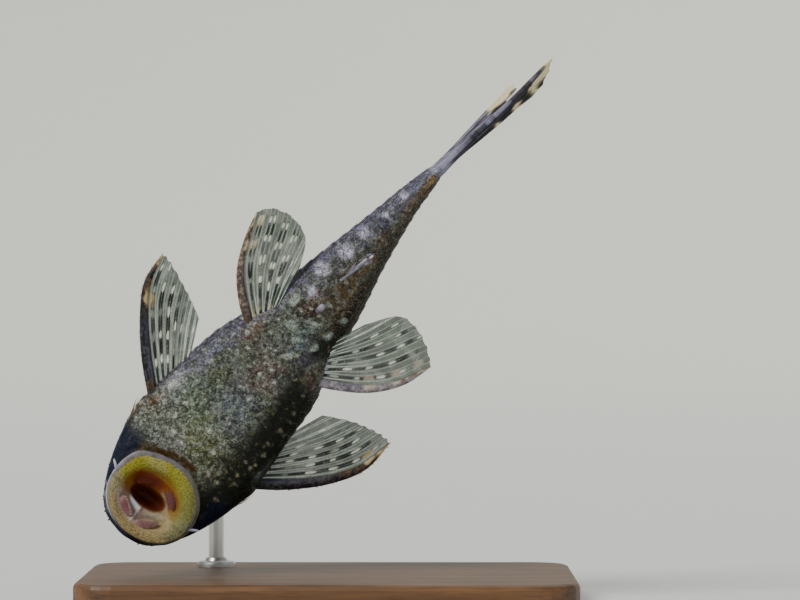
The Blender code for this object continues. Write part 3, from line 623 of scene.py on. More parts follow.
# Fin web and bony rays: a clear film with pigment in and on it
FIN_WEB = Finish(
    "fin_web_and_rays", Surface.FIN, roughness=0.55, ior=1.28, coat=0.02, grain=0.24, contrast=0.2,
    bump=0.015,
)
# Tooth and odontode mineral: smooth, amber at the tips
TOOTH = Finish(
    "amber_tooth_enamel", Surface.SKIN, roughness=0.25, ior=1.6, coat=0.3, grain=0.12, contrast=0.1,
    bump=0.0,
)
# Iris and pupil under a clear wet cornea
IRIS = Finish("fish_iris", Surface.SKIN, roughness=0.3, coat=1.0, grain=0.12, contrast=0.12, bump=0.01)
# Oiled walnut: straight brown grain with a soft sheen. Its pores are coarser than real ones, to be seen
WALNUT = Finish(
    "oiled_walnut", Surface.WOOD, "#75512f", "#452b18", roughness=0.5, ior=1.5, grain=0.35, bump=0.03
)
# Brushed stainless steel rod: soft highlights drawn out round it
STEEL = Finish(
    "brushed_stainless_steel",
    Surface.BRUSHED,
    "#c9c9c6",
    roughness=0.3,
    metallic=1.0,
    ior=1.5,
    grain=0.12,
    bump=0.004,
)
# Matt paint on the studio floor and backdrop
FLOOR = Finish(
    "matt_studio_paint", Surface.PAINTED, colour="#dfe1dd", roughness=0.85, ior=1.45, grain=2.0, bump=0.02
)


def placed(name: str, data: bpy.types.ID) -> bpy.types.Object:
    """A new object in the scene, which holds some data."""
    made = bpy.data.objects.new(name, data)
    bpy.context.scene.collection.objects.link(made)
    return made


def mesh_piece(
    name: str,
    points: Array,
    faces: list[Array],
    tone: Array,
    uv: list[Array] | None,
    finish: Finish,
) -> bpy.types.Object:
    """Make a piece from points of the fish's frame.

    Args:
        name: The piece's name.
        points: Its vertices in millimetres, in a list or a grid.
        faces: Index arrays, each with one count of corners a row.
        tone: Linear colour of each vertex, with its opacity if the piece is partly clear.
        uv: Places on the colour map for each corner of each face array.
        finish: Its finish.

    Returns:
        The new object, riding on the stand.
    """
    mesh = bpy.data.meshes.new(name)
    points = points.reshape(-1, 3)
    tone = tone.reshape(-1, tone.shape[-1])
    flat = np.concatenate([part.ravel() for part in faces])
    sizes = np.concatenate([np.full(len(part), part.shape[1]) for part in faces])
    mesh.vertices.add(len(points))
    mesh.vertices.foreach_set("co", posed(points).astype(np.float32).ravel())
    mesh.loops.add(len(flat))
    mesh.loops.foreach_set("vertex_index", flat.astype(np.int32))
    mesh.polygons.add(len(sizes))
    mesh.polygons.foreach_set("loop_start", (np.cumsum(sizes) - sizes).astype(np.int32))
    mesh.update(calc_edges=True)
    if uv is not None:
        layer = mesh.uv_layers.new(name="OFBake")
        layer.data.foreach_set("uv", np.concatenate([part.ravel() for part in uv]).astype(np.float32))
    if tone.shape[1] == 3:
        tone = np.column_stack((tone, np.ones(len(tone))))
    colours = mesh.color_attributes.new("tone", "FLOAT_COLOR", "POINT")
    colours.data.foreach_set("color", tone.astype(np.float32).ravel())
    mesh.validate()
    mesh.shade_smooth()
    mesh.materials.append(finish.material())
    piece = placed(name, mesh)
    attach(piece, "root")
    log.info("%s: %d faces", name, len(sizes))
    return piece


def grid_faces(rows: int, columns: int, wrap: bool, flip: bool = False) -> tuple[Array, Array]:
    """Four-cornered faces over a grid, and their places on a square map.

    Args:
        rows: Rows of points.
        columns: Columns of points.
        wrap: Whether the last column meets the first.
        flip: Whether the faces turn the other way.

    Returns:
        Vertex numbers, four a face, and map places, four a face.
    """
    i, j = np.meshgrid(np.arange(rows - 1), np.arange(columns if wrap else columns - 1), indexing="ij")
    i, j = i.ravel(), j.ravel()
    corners = ((i, j), (i, j + 1), (i + 1, j + 1), (i + 1, j))
    if flip:
        corners = corners[::-1]
    faces = np.stack([a * columns + b % columns for a, b in corners], axis=1)
    span = columns if wrap else columns - 1
    uv = np.stack([np.stack((a / (rows - 1), b / span), axis=-1) for a, b in corners], axis=1)
    return faces, uv


@dataclass
class Body:
    """The fish's trunk as a function of the distance behind the snout and the angle round it."""

    stations: Array = field(default_factory=lambda: STATIONS)

    def column(self, x: Array, number: int) -> Array:
        """One column of the stations, read along the body."""
        return through(self.stations[:, 0], self.stations[:, number], x)

    def point(self, x: Array, angle: Array, rise: Array | float = 0.0) -> Array:
        """Places on the skin.

        Args:
            x: Distances behind the snout.
            angle: Angles round the body, -90 to 270.
            rise: How far outside the skin.

        Returns:
            Points of the fish's frame.
        """
        x, angle = np.broadcast_arrays(np.asarray(x, float), np.asarray(angle, float))
        half, back, belly, widest, shift, upper, lower = (self.column(x, k) for k in range(1, 8))
        turn = np.radians(angle)
        across, up = np.cos(turn), np.sin(turn)
        power = 2.0 / np.where(up >= 0.0, upper, lower)
        reach = np.where(up >= 0.0, back - widest, widest - belly)
        y = (half + rise) * np.sign(across) * np.abs(across) ** power
        z = (reach + rise) * np.sign(up) * np.abs(up) ** power
        return np.stack((x, y + shift, z + widest), axis=-1)

    def outward(self, x: Array, angle: Array) -> Array:
        """Directions square to the skin.

        Args:
            x: Distances behind the snout.
            angle: Angles round the body.

        Returns:
            A unit vector for each place.
        """
        x, angle = np.broadcast_arrays(np.asarray(x, float), np.asarray(angle, float))
        along = self.point(x + 0.2, angle) - self.point(x - 0.2, angle)
        round_it = self.point(x, angle + 1.0) - self.point(x, angle - 1.0)
        square = np.cross(round_it, along)
        middle = np.stack((x, np.zeros_like(x), self.column(x, 4)), axis=-1)
        inward = (square * (self.point(x, angle) - middle)).sum(axis=-1, keepdims=True) < 0.0
        square = np.where(inward, -square, square)
        return square / np.linalg.norm(square, axis=-1, keepdims=True)

    def eye(self, side: int) -> tuple[Array, Array]:
        """Centre and outward direction of an eye. Side is 1 for the right and -1 for the left."""
        angle = math.degrees(math.acos(EYE_SIDE / float(self.column(np.array(EYE_STATION), 1))))
        angle = mirrored(angle, side)
        outward = self.outward(EYE_STATION, angle)
        return self.point(EYE_STATION, angle) - outward * EYE_SINK, outward


def folded(angle: Array) -> Array:
    """Angles of the left side, mirrored to the right side's."""
    return np.where(angle <= 90.0, angle, 180.0 - angle)


def plate_rear(k: Array, across: Array, shift: float) -> Array:
    """Where the rear edge of a row's k-th plate lies at a share across the row."""
    return PLATE_START + (k + 1 + shift) * PLATE_PITCH + PLATE_BOW * (1.0 - (2.0 * across - 1.0) ** 2)


@dataclass
class Markings:
    """The colours of skin, fin bases and odontodes, read at places of the fish's frame."""

    # Broad tints of the naked underside: centre x and y, half length, half breadth, colour, strength
    tints: tuple = (
        (14.3, -4.2, 3.2, 3.0, "#7a7c72", 0.75), (16.6, -0.7, 2.6, 2.2, "#767a4a", 0.8),
        (14.6, 3.6, 3.2, 3.6, "#4a4c2c", 0.75), (19.2, -3.9, 2.8, 2.8, "#4a5c44", 0.75),
        (22.0, 0.3, 3.6, 2.6, "#4a566a", 0.6), (24.2, -4.6, 2.4, 2.0, "#444c2c", 0.8),
        (27.2, 0.0, 3.8, 3.4, "#5f504c", 0.85), (31.8, 3.1, 2.5, 1.9, "#645476", 0.75),
        (30.4, 5.2, 2.6, 1.8, "#54463c", 0.85), (29.8, -4.3, 2.4, 1.5, "#5c4228", 0.85),
        (32.8, 1.0, 2.0, 1.6, "#40565e", 0.75), (39.0, 2.4, 2.6, 1.6, "#432c16", 0.85),
        (42.5, 0.4, 4.0, 1.6, "#5e4a2e", 0.85), (45.4, 1.4, 1.8, 0.9, "#6e5028", 0.8),
        (37.8, -0.9, 2.0, 1.2, "#4c3114", 0.8), (49.5, 0.2, 3.0, 1.1, "#5c4630", 0.85),
        (15.2, -8.0, 1.7, 1.3, "#583810", 0.9), (53.8, 0.5, 2.2, 0.8, "#64493a", 0.85),
        # The pale lilac tint at x 60.6, on the tail's end, is painted sheen
        (58.0, 0.5, 2.2, 0.7, "#9e7c52", 0.95), (60.6, 0.1, 1.5, 1.3, "#8f8e9c", 0.95),
        (18.7, -7.9, 2.4, 1.0, "#8f8b8c", 1.2), (32.4, -5.1, 1.3, 0.9, "#8c8a72", 1.0),
        (31.2, 6.2, 1.4, 0.8, "#83818e", 0.8), (17.2, 8.4, 2.4, 0.9, "#5c6470", 0.8),
    )  # fmt: skip
    # Single pale blotches on the underside: x, y, radius
    blotches: tuple = (
        (8.2, 6.1, 0.34), (10.9, 6.1, 0.34), (14.9, 6.0, 0.3), (36.1, -2.8, 0.6), (38.4, -1.9, 0.7),
        (41.4, -2.7, 0.85), (45.0, -1.9, 0.95), (48.2, -1.8, 0.8), (51.7, -1.0, 0.4), (55.0, -0.9, 0.6),
        (35.4, 0.8, 0.5), (33.6, -1.3, 0.55), (38.2, 3.5, 0.45), (32.7, 0.5, 0.45), (33.3, 3.0, 0.5),
        (35.5, 3.4, 0.5), (30.5, 1.1, 0.45), (45.6, 0.9, 0.5),
    )  # fmt: skip

    def tone(self, points: Array, angle: Array) -> Array:
        """Colours of the skin.

        Args:
            points: Places of the fish's frame.
            angle: Angle round the body of each place.

        Returns:
            A linear colour for each place.
        """
        x, y, z = points[..., 0], points[..., 1], points[..., 2]
        turned = folded(angle)
        under = ease(turned, -8.0, -42.0)
        drift = cloud(points, 3.2, 5) - 0.5
        ragged = (cloud(points, 0.5, 6) - 0.5) * 1.0
        tone = plain("#2b2622", points)
        tone = layered(
            tone,
            ("#4f5349", under * 0.9),
            ("#453c30", (1.0 - under) * ease(cloud(points, 7.0, 9), 0.35, 0.8)),
        )
        for cx, cy, rx, ry, code, strength in self.tints:
            reach = np.hypot((x - cx) / rx, (y - cy) / ry) + drift * 1.1 + ragged
            tone = paint(tone, code, under * strength * ease(reach, 1.35, 0.3))
        half = np.maximum(Body().column(x, 1), 0.5)
        side = y / half
        # Painted sheen in grey-blue patches on the underside; then dark mottle all over, and small dark and
        # pale flecks on the underside
        tone = layered(
            tone,
            ("#565a60", under * 0.3 * ease(cloud(points, 2.1, 13), 0.5, 0.85)),
            ("#171312", ease(cloud(points, 1.1, 31), 0.5, 0.85) * 0.55),
            ("#171614", under * ease(cloud(points, 0.5, 87), 0.48, 0.22) * 0.5),
            ("#7e8a7c", under * ease(cloud(points, 0.5, 89), 0.58, 0.82) * 0.45),
        )
        # Painted sheen: lilac, in short dashes with dark ones between, along the left flank and on the left
        # of the tail's underside
        dashes = cloud(points * np.array((0.4, 1.0, 1.0)), 0.22, 35)
        painted_lilac_sheen = ease(turned, 20.0, -16.0) * ease(-side, 0.45, 0.9) * ease(x, 14.0, 24.0)
        painted_lilac_sheen = np.maximum(painted_lilac_sheen, under * ease(x, 44.0, 52.0) * ease(-side, -0.35, 0.3))
        tone = layered(
            tone,
            ("#15141a", painted_lilac_sheen * ease(dashes, 0.5, 0.25) * 0.6),
            ("#5f5f82", painted_lilac_sheen * (0.15 + 0.65 * ease(dashes, 0.45, 0.75))),
        )
        # Painted shade on the right flank, over its own dense dark pigment, but not near the roots of the
        # right pelvic and pectoral fins
        tailward = ease(x, 33.0, 40.0)
        deep = ease(turned, 20.0, -4.0) * ease(side - 0.15 * tailward - 0.4 * ease(x, 57.0, 60.5), 0.26, 0.62)
        roots = np.maximum(
            0.9 * spot(x, y, (30.9, 6.0, 2.4, 2.4), 0.9), 0.8 * spot(x, y, (17.2, 8.6, 2.4, 0.9), 0.9)
        )
        tone = paint(tone, "#060a05", deep * 0.95 * (1.0 - roots))
        # Salt and pepper grain, closest on the breast, lilac and brown on the tail
        moved = stirred(points, 0.7, 0.5, 101)
        breast = under * ease(x, 24.0, 16.0) * ease(x, 10.5, 12.0) * ease(side, 0.35, 0.0)
        pepper = 0.45 * cloud(points, 0.25, 21) + 0.55 * cloud(points, 0.14, 23)
        tone = paint(
            tone, "#151413", ease(pepper, 0.5, 0.34) * (0.23 + 0.07 * under) * (1.0 - 0.35 * tailward)
        )
        grain = ease(pepper, 0.48, 0.66)
        shown = (
            grain * (0.12 + 0.09 * under + 0.12 * breast) * (1.0 - 0.9 * deep)
            * (1.0 - 0.35 * bell(x, 28.5, 4.0))
        )
        tone = layered(
            tone,
            ("#a8ada6", shown * (1.0 - tailward)),
            ("#908eac", shown * tailward * ease(side, 0.2, -0.3)),
            ("#7e6a4c", grain * tailward * ease(side, 0.1, 0.5) * 0.35),
        )
        # Round pale spots with ragged edges, yellow on the right
        spots, own = cells(moved, 1.3, 41)
        size = (0.12 + 0.12 * own) * (1.0 - 0.2 * ease(side, 0.3, 0.6))
        mask = (
            ease(spots + 0.2 * (pepper - 0.5), size + 0.15, size - 0.12) * ease(own, 0.25, 0.4)
            * (0.45 + 0.45 * own)
        )
        mask = mask * (1.0 - 0.7 * tailward) * (1.0 - 0.9 * ease(side, 0.8, 0.93))
        tone = layered(
            tone,
            ("#a6a79c", mask * (1.0 - 0.3 * ease(side, 0.3, 0.6))),
            ("#6a663e", mask * ease(side, 0.2, 0.5) * 0.9),
        )
        small, own_small = cells(moved, 0.85, 47)
        dim = (
            ease(small, 0.36, 0.06) * ease(own_small, 0.25, 0.55) * ease(side, 0.92, 0.75)
            * (1.0 - 0.6 * tailward)
        )
        tone = layered(
            tone,
            ("#8f968f", dim * ease(side, 0.45, 0.1) * (0.3 + 0.5 * under)),
            ("#5c5a3c", dim * ease(side, 0.15, 0.4) * 0.7),
            ("#a4adb6", mask * ease(cloud(points, 4.0, 45), 0.45, 0.65) * ease(side, 0.3, 0.0) * 0.6),
        )
        large, own = cells(moved, 2.6, 61)
        mask = (
            ease(large, 0.33 + 0.08 * own, 0.1) * ease(x, 27.0, 34.0) * (1.0 - 0.85 * tailward)
            * ease(own, 0.15, 0.35)
        )
        mask = mask * (1.0 - 0.8 * ease(side, 0.5, 0.75))
        tone = paint(tone, "#9a99a2", mask * (0.1 + 0.5 * cloud(points, 0.4, 77)))
        low = under * (z < 4.0)
        for cx, cy, radius in self.blotches:
            gap = np.hypot(moved[..., 0] - cx, moved[..., 1] - cy) / radius
            mask = low * ease(gap, 1.45, 0.3) * (0.4 + 0.6 * cloud(points, 0.3, 79))
            tone = paint(tone, "#b4b2c8" if cx > 38.3 else "#a09a6c" if cy > 5.0 else "#93a09a", mask)
        # Brown skin hugging the rear rim of the mouth
        reach = disc_share(x - DISC_X, y - DISC_Y) + drift * 0.05
        rim = under * bell(reach, 1.06, 0.085) * ease(x, 6.8, 8.6) * ease(y, 3.4, 0.8)
        tone = paint(tone, "#3c2808", rim * (0.55 + 0.8 * cloud(points, 0.5, 83)))
        # Plates: paler along the toothed rear edge, dark in the groove behind it
        for low_edge, high_edge, start, shift in PLATE_ROWS:
            across = (turned - low_edge) / (high_edge - low_edge)
            held = (across >= 0.0) & (across < 1.0) & (x > start)
            step = (x - plate_rear(np.array(-1.0), across, shift)) / PLATE_PITCH
            step = step - np.floor(step)
            rows = held * ease(turned, -34.0, 2.0)
            groove = np.maximum(ease(step, 0.16, 0.02), ease(np.abs(across - 0.5), 0.44, 0.5))
            tone = layered(
                tone,
                ("#0e0c0b", rows * groove * 0.75),
                ("#7b7678", rows * bell(step, 0.86, 0.09) * (0.25 + 0.3 * cloud(points, 0.5, 33))),
            )
        # The skin thins to a lilac film where the tail fin begins, with painted sheen on it in pale dashes,
        # and dark dashes
        film_and_sheen = ease(x, 58.9, 60.4) * ease(side, 1.05, 0.8)
        tone = layered(
            tone,
            ("#77768a", film_and_sheen * 0.85),
            ("#a6a5b8", film_and_sheen * ease(dashes, 0.5, 0.75) * 0.6),
            ("#2a2932", film_and_sheen * ease(dashes, 0.4, 0.2) * 0.5),
        )
        # Bare brown snout, and painted shade in dark blue along the edge of the head and the tip of the
        # snout, where they turn away underneath
        tone = paint(tone, "#1c1716", ease(x, 4.5, 0.5) * ease(turned, -40.0, 0.0) * 0.85)
        margin = np.maximum(ease(np.abs(y), 5.0, 6.2) * ease(x, 12.5, 10.0), ease(x, 1.8, 0.6))
        tone = paint(tone, "#0a1228", ease(turned, 14.0, -6.0) * margin * 0.95)
        return tone


@dataclass
class Skin:
    """One skin over head, trunk and tail, with plates, folds, pits and grains in its own relief."""

    body: Body
    markings: Markings
    rings: int = 880
    half_columns: int = 200

    def grid(self) -> tuple[Array, Array]:
        """Distances behind the snout and angles, spaced evenly over the surface.

        Returns:
            Two arrays, rings by columns.
        """
        x = np.linspace(0.0, BODY_LENGTH, 6000)
        profile = np.stack([x] + [self.body.column(x, k) for k in (1, 2)])
        length = np.concatenate(([0.0], np.cumsum(np.linalg.norm(np.diff(profile, axis=1), axis=0))))
        x = np.interp(np.linspace(0.0, length[-1], self.rings), length, x)
        dense = np.linspace(-90.0, 90.0, 2881)
        angles = np.empty((self.rings, self.half_columns + 1))
        for i, place in enumerate(x):
            line = self.body.point(place, dense)
            close = np.where(dense[1:] < 5.0, 1.5, 1.0)
            length = np.concatenate(([0.0], np.cumsum(np.linalg.norm(np.diff(line, axis=0), axis=1) * close)))
            angles[i] = np.interp(np.linspace(0.0, length[-1], self.half_columns + 1), length, dense)
        angles = np.concatenate((angles, 180.0 - angles[:, -2:0:-1]), axis=1)
        return np.broadcast_to(x[:, None], angles.shape), angles

    def plates(self, x: Array, angle: Array, points: Array) -> Array:
        """Overlapping bony plates, each rising to a finely toothed rear edge.

        Args:
            x: Distances behind the snout.
            angle: Angles round the body.
            points: Places of the fish's frame.

        Returns:
            Heights in millimetres.
        """
        turned = folded(angle)
        height = np.zeros_like(x)
        grains, _ = cells(points, 0.27, 91)
        for low, high, start, shift in PLATE_ROWS:
            across = (turned - low) / (high - low)
            inside = (across >= 0.0) & (across < 1.0)
            toothed = 0.05 * np.abs(((across * 9.0) % 1.0) * 2.0 - 1.0)
            phase = (x - plate_rear(np.array(-1.0), across, shift) + toothed) / PLATE_PITCH
            step = phase - np.floor(phase)
            crest = np.where(step < 0.94, 0.25 + 0.75 * (step / 0.94) ** 1.3, (1.0 - step) / 0.06)
            edges = 1.0 - np.abs(2.0 * across - 1.0) ** 6
            begun = ease(x, start - 0.6, start + 1.8) * ease(x, BODY_LENGTH - 0.6, BODY_LENGTH - 4.0)
            shape = (
                0.2 * crest * edges * (0.3 + 0.7 * ease(turned, -45.0, 0.0))
                + 0.022 * ease(grains, 0.6, 0.1) * edges
            )
            height += np.where(inside, shape * begun, 0.0)
        return height

    def head_plates(self, x: Array, angle: Array, points: Array) -> Array:
        """Bony plates over the top and sides of the head, parted by shallow seams.

        Args:
            x: Distances behind the snout.
            angle: Angles round the body.
            points: Places of the fish's frame.

        Returns:
            Heights in millimetres.
        """
        turned = folded(angle)
        seeds = (
            (4.6, 80.0), (5.6, 56.0), (7.3, 88.0), (8.0, 36.0), (9.6, 74.0), (10.6, 92.0), (11.0, 22.0),
            (12.2, 60.0), (13.4, 8.0), (14.2, 34.0), (14.4, 76.0), (14.6, 93.0), (16.8, 56.0),
        )  # fmt: skip
        gaps = np.sort(
            np.stack([np.hypot(x - sx, (turned - sa) * 0.145) for sx, sa in seeds]), axis=0
        )
        seam = gaps[1] - gaps[0]
        where = ease(turned, 2.0, 16.0) * ease(x, 3.0, 4.4) * ease(x, 17.6, 16.4)
        grains, _ = cells(points, 0.3, 93)
        return where * (0.13 * ease(seam, 0.05, 0.45) + 0.035 * ease(grains, 0.6, 0.1))

    def relief(self, x: Array, angle: Array, points: Array) -> Array:
        """Everything that stands out of or sinks into the smooth trunk, apart from eyes and mouth.

        Args:
            x: Distances behind the snout.
            angle: Angles round the body.
            points: Places of the fish's frame.

        Returns:
            Heights in millimetres.
        """
        turned = folded(angle)
        y = points[..., 1]
        naked = ease(turned, -20.0, -50.0) * ease(x, 47.0, 36.0)
        height = self.plates(x, angle, points) + self.head_plates(x, angle, points)
        grains, own = cells(points, 0.33, 51)
        height += naked * 0.035 * ease(grains, 0.65, 0.1) * (0.3 + 0.7 * own)
        height += naked * 0.05 * (cloud(points, 1.3, 53) - 0.5)
        snout = ease(x, 6.0, 1.5) * (1.0 - naked)
        height += snout * 0.05 * ease(cells(points, 0.5, 55)[0], 0.6, 0.1)
        # Soft folds behind the mouth
        reach = np.hypot(x - DISC_X, y - DISC_Y)
        waves = np.sin(2.0 * np.pi * (reach + 0.5 * cloud(points, 2.5, 57)) / 0.9)
        height += 0.03 * waves * bell(reach, 7.2, 1.1) * naked * ease(x, 6.0, 9.0)
        # Gill cover: a rim that rises tailward, then falls into the gill slit
        across = np.clip((turned + 62.0) / 78.0, 0.0, 1.0)
        lip = np.sin(np.pi * across) ** 0.5
        edge = x - 15.1 + 1.1 * (2.0 * across - 1.0) ** 2
        rise = 0.24 * ease(edge, -2.5, -0.2) * ease(edge, 0.22, 0.0)
        height += lip * (rise - 0.12 * bell(edge, 0.35, 0.25))
        # Shoulder girdle under the skin of the breast, and the fleshy roots of the paired fins
        height += 0.12 * bell(x, 17.0, 1.6) * naked * ease(np.abs(y), 1.0, 4.5)
        for rx, ry, breadth, strength in (
            (15.0, 6.9, 2.6, 0.6), (15.0, -6.9, 2.6, 0.6), (30.4, 5.5, 2.3, 1.0), (30.8, -4.2, 1.9, 1.0),
        ):  # fmt: skip
            bulge = np.hypot((x - rx) / 2.2, (y - ry) / breadth * 1.4)
            height += 0.3 * ease(bulge, 1.1, 0.2) * ease(turned, -5.0, -15.0) * strength
        # Pit of the vent
        height -= 0.3 * ease(np.hypot(x - VENT_X, y - VENT_Y), 0.75, 0.2) * naked
        return height

    def nostrils(self, points: Array) -> Array:
        """Depth of the two pits of each nostril, with the flap standing between them."""
        depth = np.zeros(points.shape[:-1])
        for angle in NOSTRIL_ANGLES:
            middle = self.body.point(NOSTRIL_STATION, angle)
            dx = points[..., 0] - middle[0]
            off = np.sqrt(((points - middle) ** 2)[..., 1:].sum(axis=-1))
            for step in (-NOSTRIL_HALF_GAP, NOSTRIL_HALF_GAP):
                depth -= 0.5 * ease(np.hypot((dx - step) / 0.36, off / 0.48), 1.15, 0.5)
            depth += 0.34 * bell(dx, 0.0, 0.13) * ease(off, 0.62, 0.35)
            depth += 0.1 * bell(np.hypot(dx / 1.05, off / 0.62), 1.0, 0.22)
        return depth

    def mouth_bed(self, points: Array) -> Array:
        """How high the skin is lifted into the head, to make room for the mouth."""
        x, y = points[..., 0] - DISC_X, points[..., 1] - DISC_Y
        share = disc_share(x, y)
        lift = np.interp(share, (0.0, 0.5, 0.84, 0.89, 0.94), (4.6, 4.4, 1.9, 0.3, 0.0))
        return np.where(points[..., 2] < 1.6, lift, 0.0)

    def build(self) -> bpy.types.Object:
        """Make the skin.

        Returns:
            The skin, which stands for the three flesh nodes.
        """
        x, angle = self.grid()
        smooth_points = self.body.point(x, angle)
        outward = normals_of(smooth_points, True)
        probe = (outward * (smooth_points - smooth_points.mean(axis=1, keepdims=True))).sum()
        outward = outward if probe > 0.0 else -outward
        height = self.relief(x, angle, smooth_points) + self.nostrils(smooth_points)
        tone = self.markings.tone(smooth_points, angle)
        for side in (1, -1):
            centre, axis = self.body.eye(side)
            away = smooth_points - centre
            along = (away * axis).sum(axis=-1)
            off = np.sqrt(np.maximum((away**2).sum(axis=-1) - along**2, 0.0))
            near = along > -1.5
            height = np.where(near & (off < 2.6), height * ease(off, 1.6, 2.4), height)
            height += near * (0.26 * bell(off, 1.78, 0.24) - 1.0 * ease(off, 1.52, 1.2))
            # Painted shade in the crease round the eye
            tone = paint(tone, "#1d1917", near * bell(off, 1.55, 0.22) * 0.9)
        # Painted shade in the pits of the nostrils
        tone = paint(tone, "#120f0e", ease(self.nostrils(smooth_points), -0.1, -0.35))
        ends = ease(x, 0.0, 0.6) * ease(x, BODY_LENGTH, BODY_LENGTH - 0.3)
        points = smooth_points + outward * (height * ends)[..., None]
        # The last rings close in on the body's middle line, so that the skin ends inside the stem of the fin
        core = np.stack((x, self.body.column(x, 5), self.body.column(x, 4)), axis=-1)
        points += (core - points) * ease(x, 59.4, BODY_LENGTH)[..., None] * np.array((0.0, 0.5, 0.26))
        points[..., 2] += self.mouth_bed(points)
        rows, columns = x.shape
        faces, uv = grid_faces(rows, columns, True)
        flat = points.reshape(-1, 3)
        caps, cap_uv = [], []
        for row in (0, rows - 1):
            middle = len(flat)
            flat = np.vstack((flat, points[row].mean(axis=0)))
            tone_row = tone.reshape(-1, 3)[row * columns : (row + 1) * columns].mean(axis=0)
            tone = np.vstack((tone.reshape(-1, 3), tone_row))
            j = np.arange(columns)
            ring = np.stack((row * columns + j, row * columns + (j + 1) % columns), axis=1)
            ring = ring[:, ::-1] if row == 0 else ring
            caps.append(np.column_stack((ring, np.full(columns, middle))))
            cap_uv.append(np.full((columns, 3, 2), 0.0 if row == 0 else 1.0))
        if probe < 0.0:
            faces, uv = faces[:, ::-1], uv[:, ::-1]
            caps = [cap[:, ::-1] for cap in caps]
        skin = mesh_piece("skin", flat, [faces, *caps], tone, [uv, *cap_uv], FISH_SKIN)
        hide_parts("head", "torso", "tail")
        return skin


def needles(
    roots: Array, ways: Array, lengths: Array, radius: Array, sides: int = 3, bend: Array | None = None
) -> tuple[Array, Array, Array]:
    """Many small tapered points in one array.

    Args:
        roots: Root of each, one a row.
        ways: Unit direction of each.
        lengths: Length of each.
        radius: Root radius of each.
        sides: Corners round each.
        bend: Sideways lean of each tip, if any.

    Returns:
        Vertices, three-cornered faces, and the needle number of each vertex.
    """
    across = np.cross(ways, np.array((0.31, 0.77, 0.56)))
    across /= np.linalg.norm(across, axis=1, keepdims=True)
    other = np.cross(ways, across)
    turn = circle(sides)
    spokes = across[:, None] * np.cos(turn)[:, None] + other[:, None] * np.sin(turn)[:, None]
    rim = roots[:, None] + spokes * radius[:, None, None]
    middle = rim * 0.55 + roots[:, None] * 0.45 + (ways * lengths[:, None] * 0.55)[:, None]
    tips = roots + ways * lengths[:, None]
    if bend is not None:
        tips = tips + bend
    points = np.concatenate((rim, middle, tips[:, None]), axis=1)
    per = 2 * sides + 1
    one = []
    for k in range(sides):
        j = (k + 1) % sides
        one += [(k, j, sides + j), (k, sides + j, sides + k), (sides + k, sides + j, 2 * sides)]
    faces = (np.arange(len(roots)) * per)[:, None, None] + np.array(one)
    return points.reshape(-1, 3), faces.reshape(-1, 3), np.repeat(np.arange(len(roots)), per)


def needle_share(count: int, sides: int) -> Array:
    """How far along its needle each of count vertices lies, by the corners round each needle."""
    return (np.arange(count) % (2 * sides + 1)) / (2.0 * sides)


def tuft_map(place: Array, which: Array, faces: Array) -> Array:
    """Small patches on the unwrapped skin, one a needle.

    Args:
        place: Place of each needle's root on the map, from 0 to 1.
        which: Needle number of each vertex.
        faces: The faces.

    Returns:
        Map places for each corner of each face.
    """
    first = np.searchsorted(which, np.arange(which.max() + 1))
    local = np.arange(len(which)) - first[which]
    patch = np.stack((np.cos(local * 0.9), np.sin(local * 0.9)), axis=-1) * 0.0015
    return (np.clip(place, 0.002, 0.998)[which] + patch)[faces]


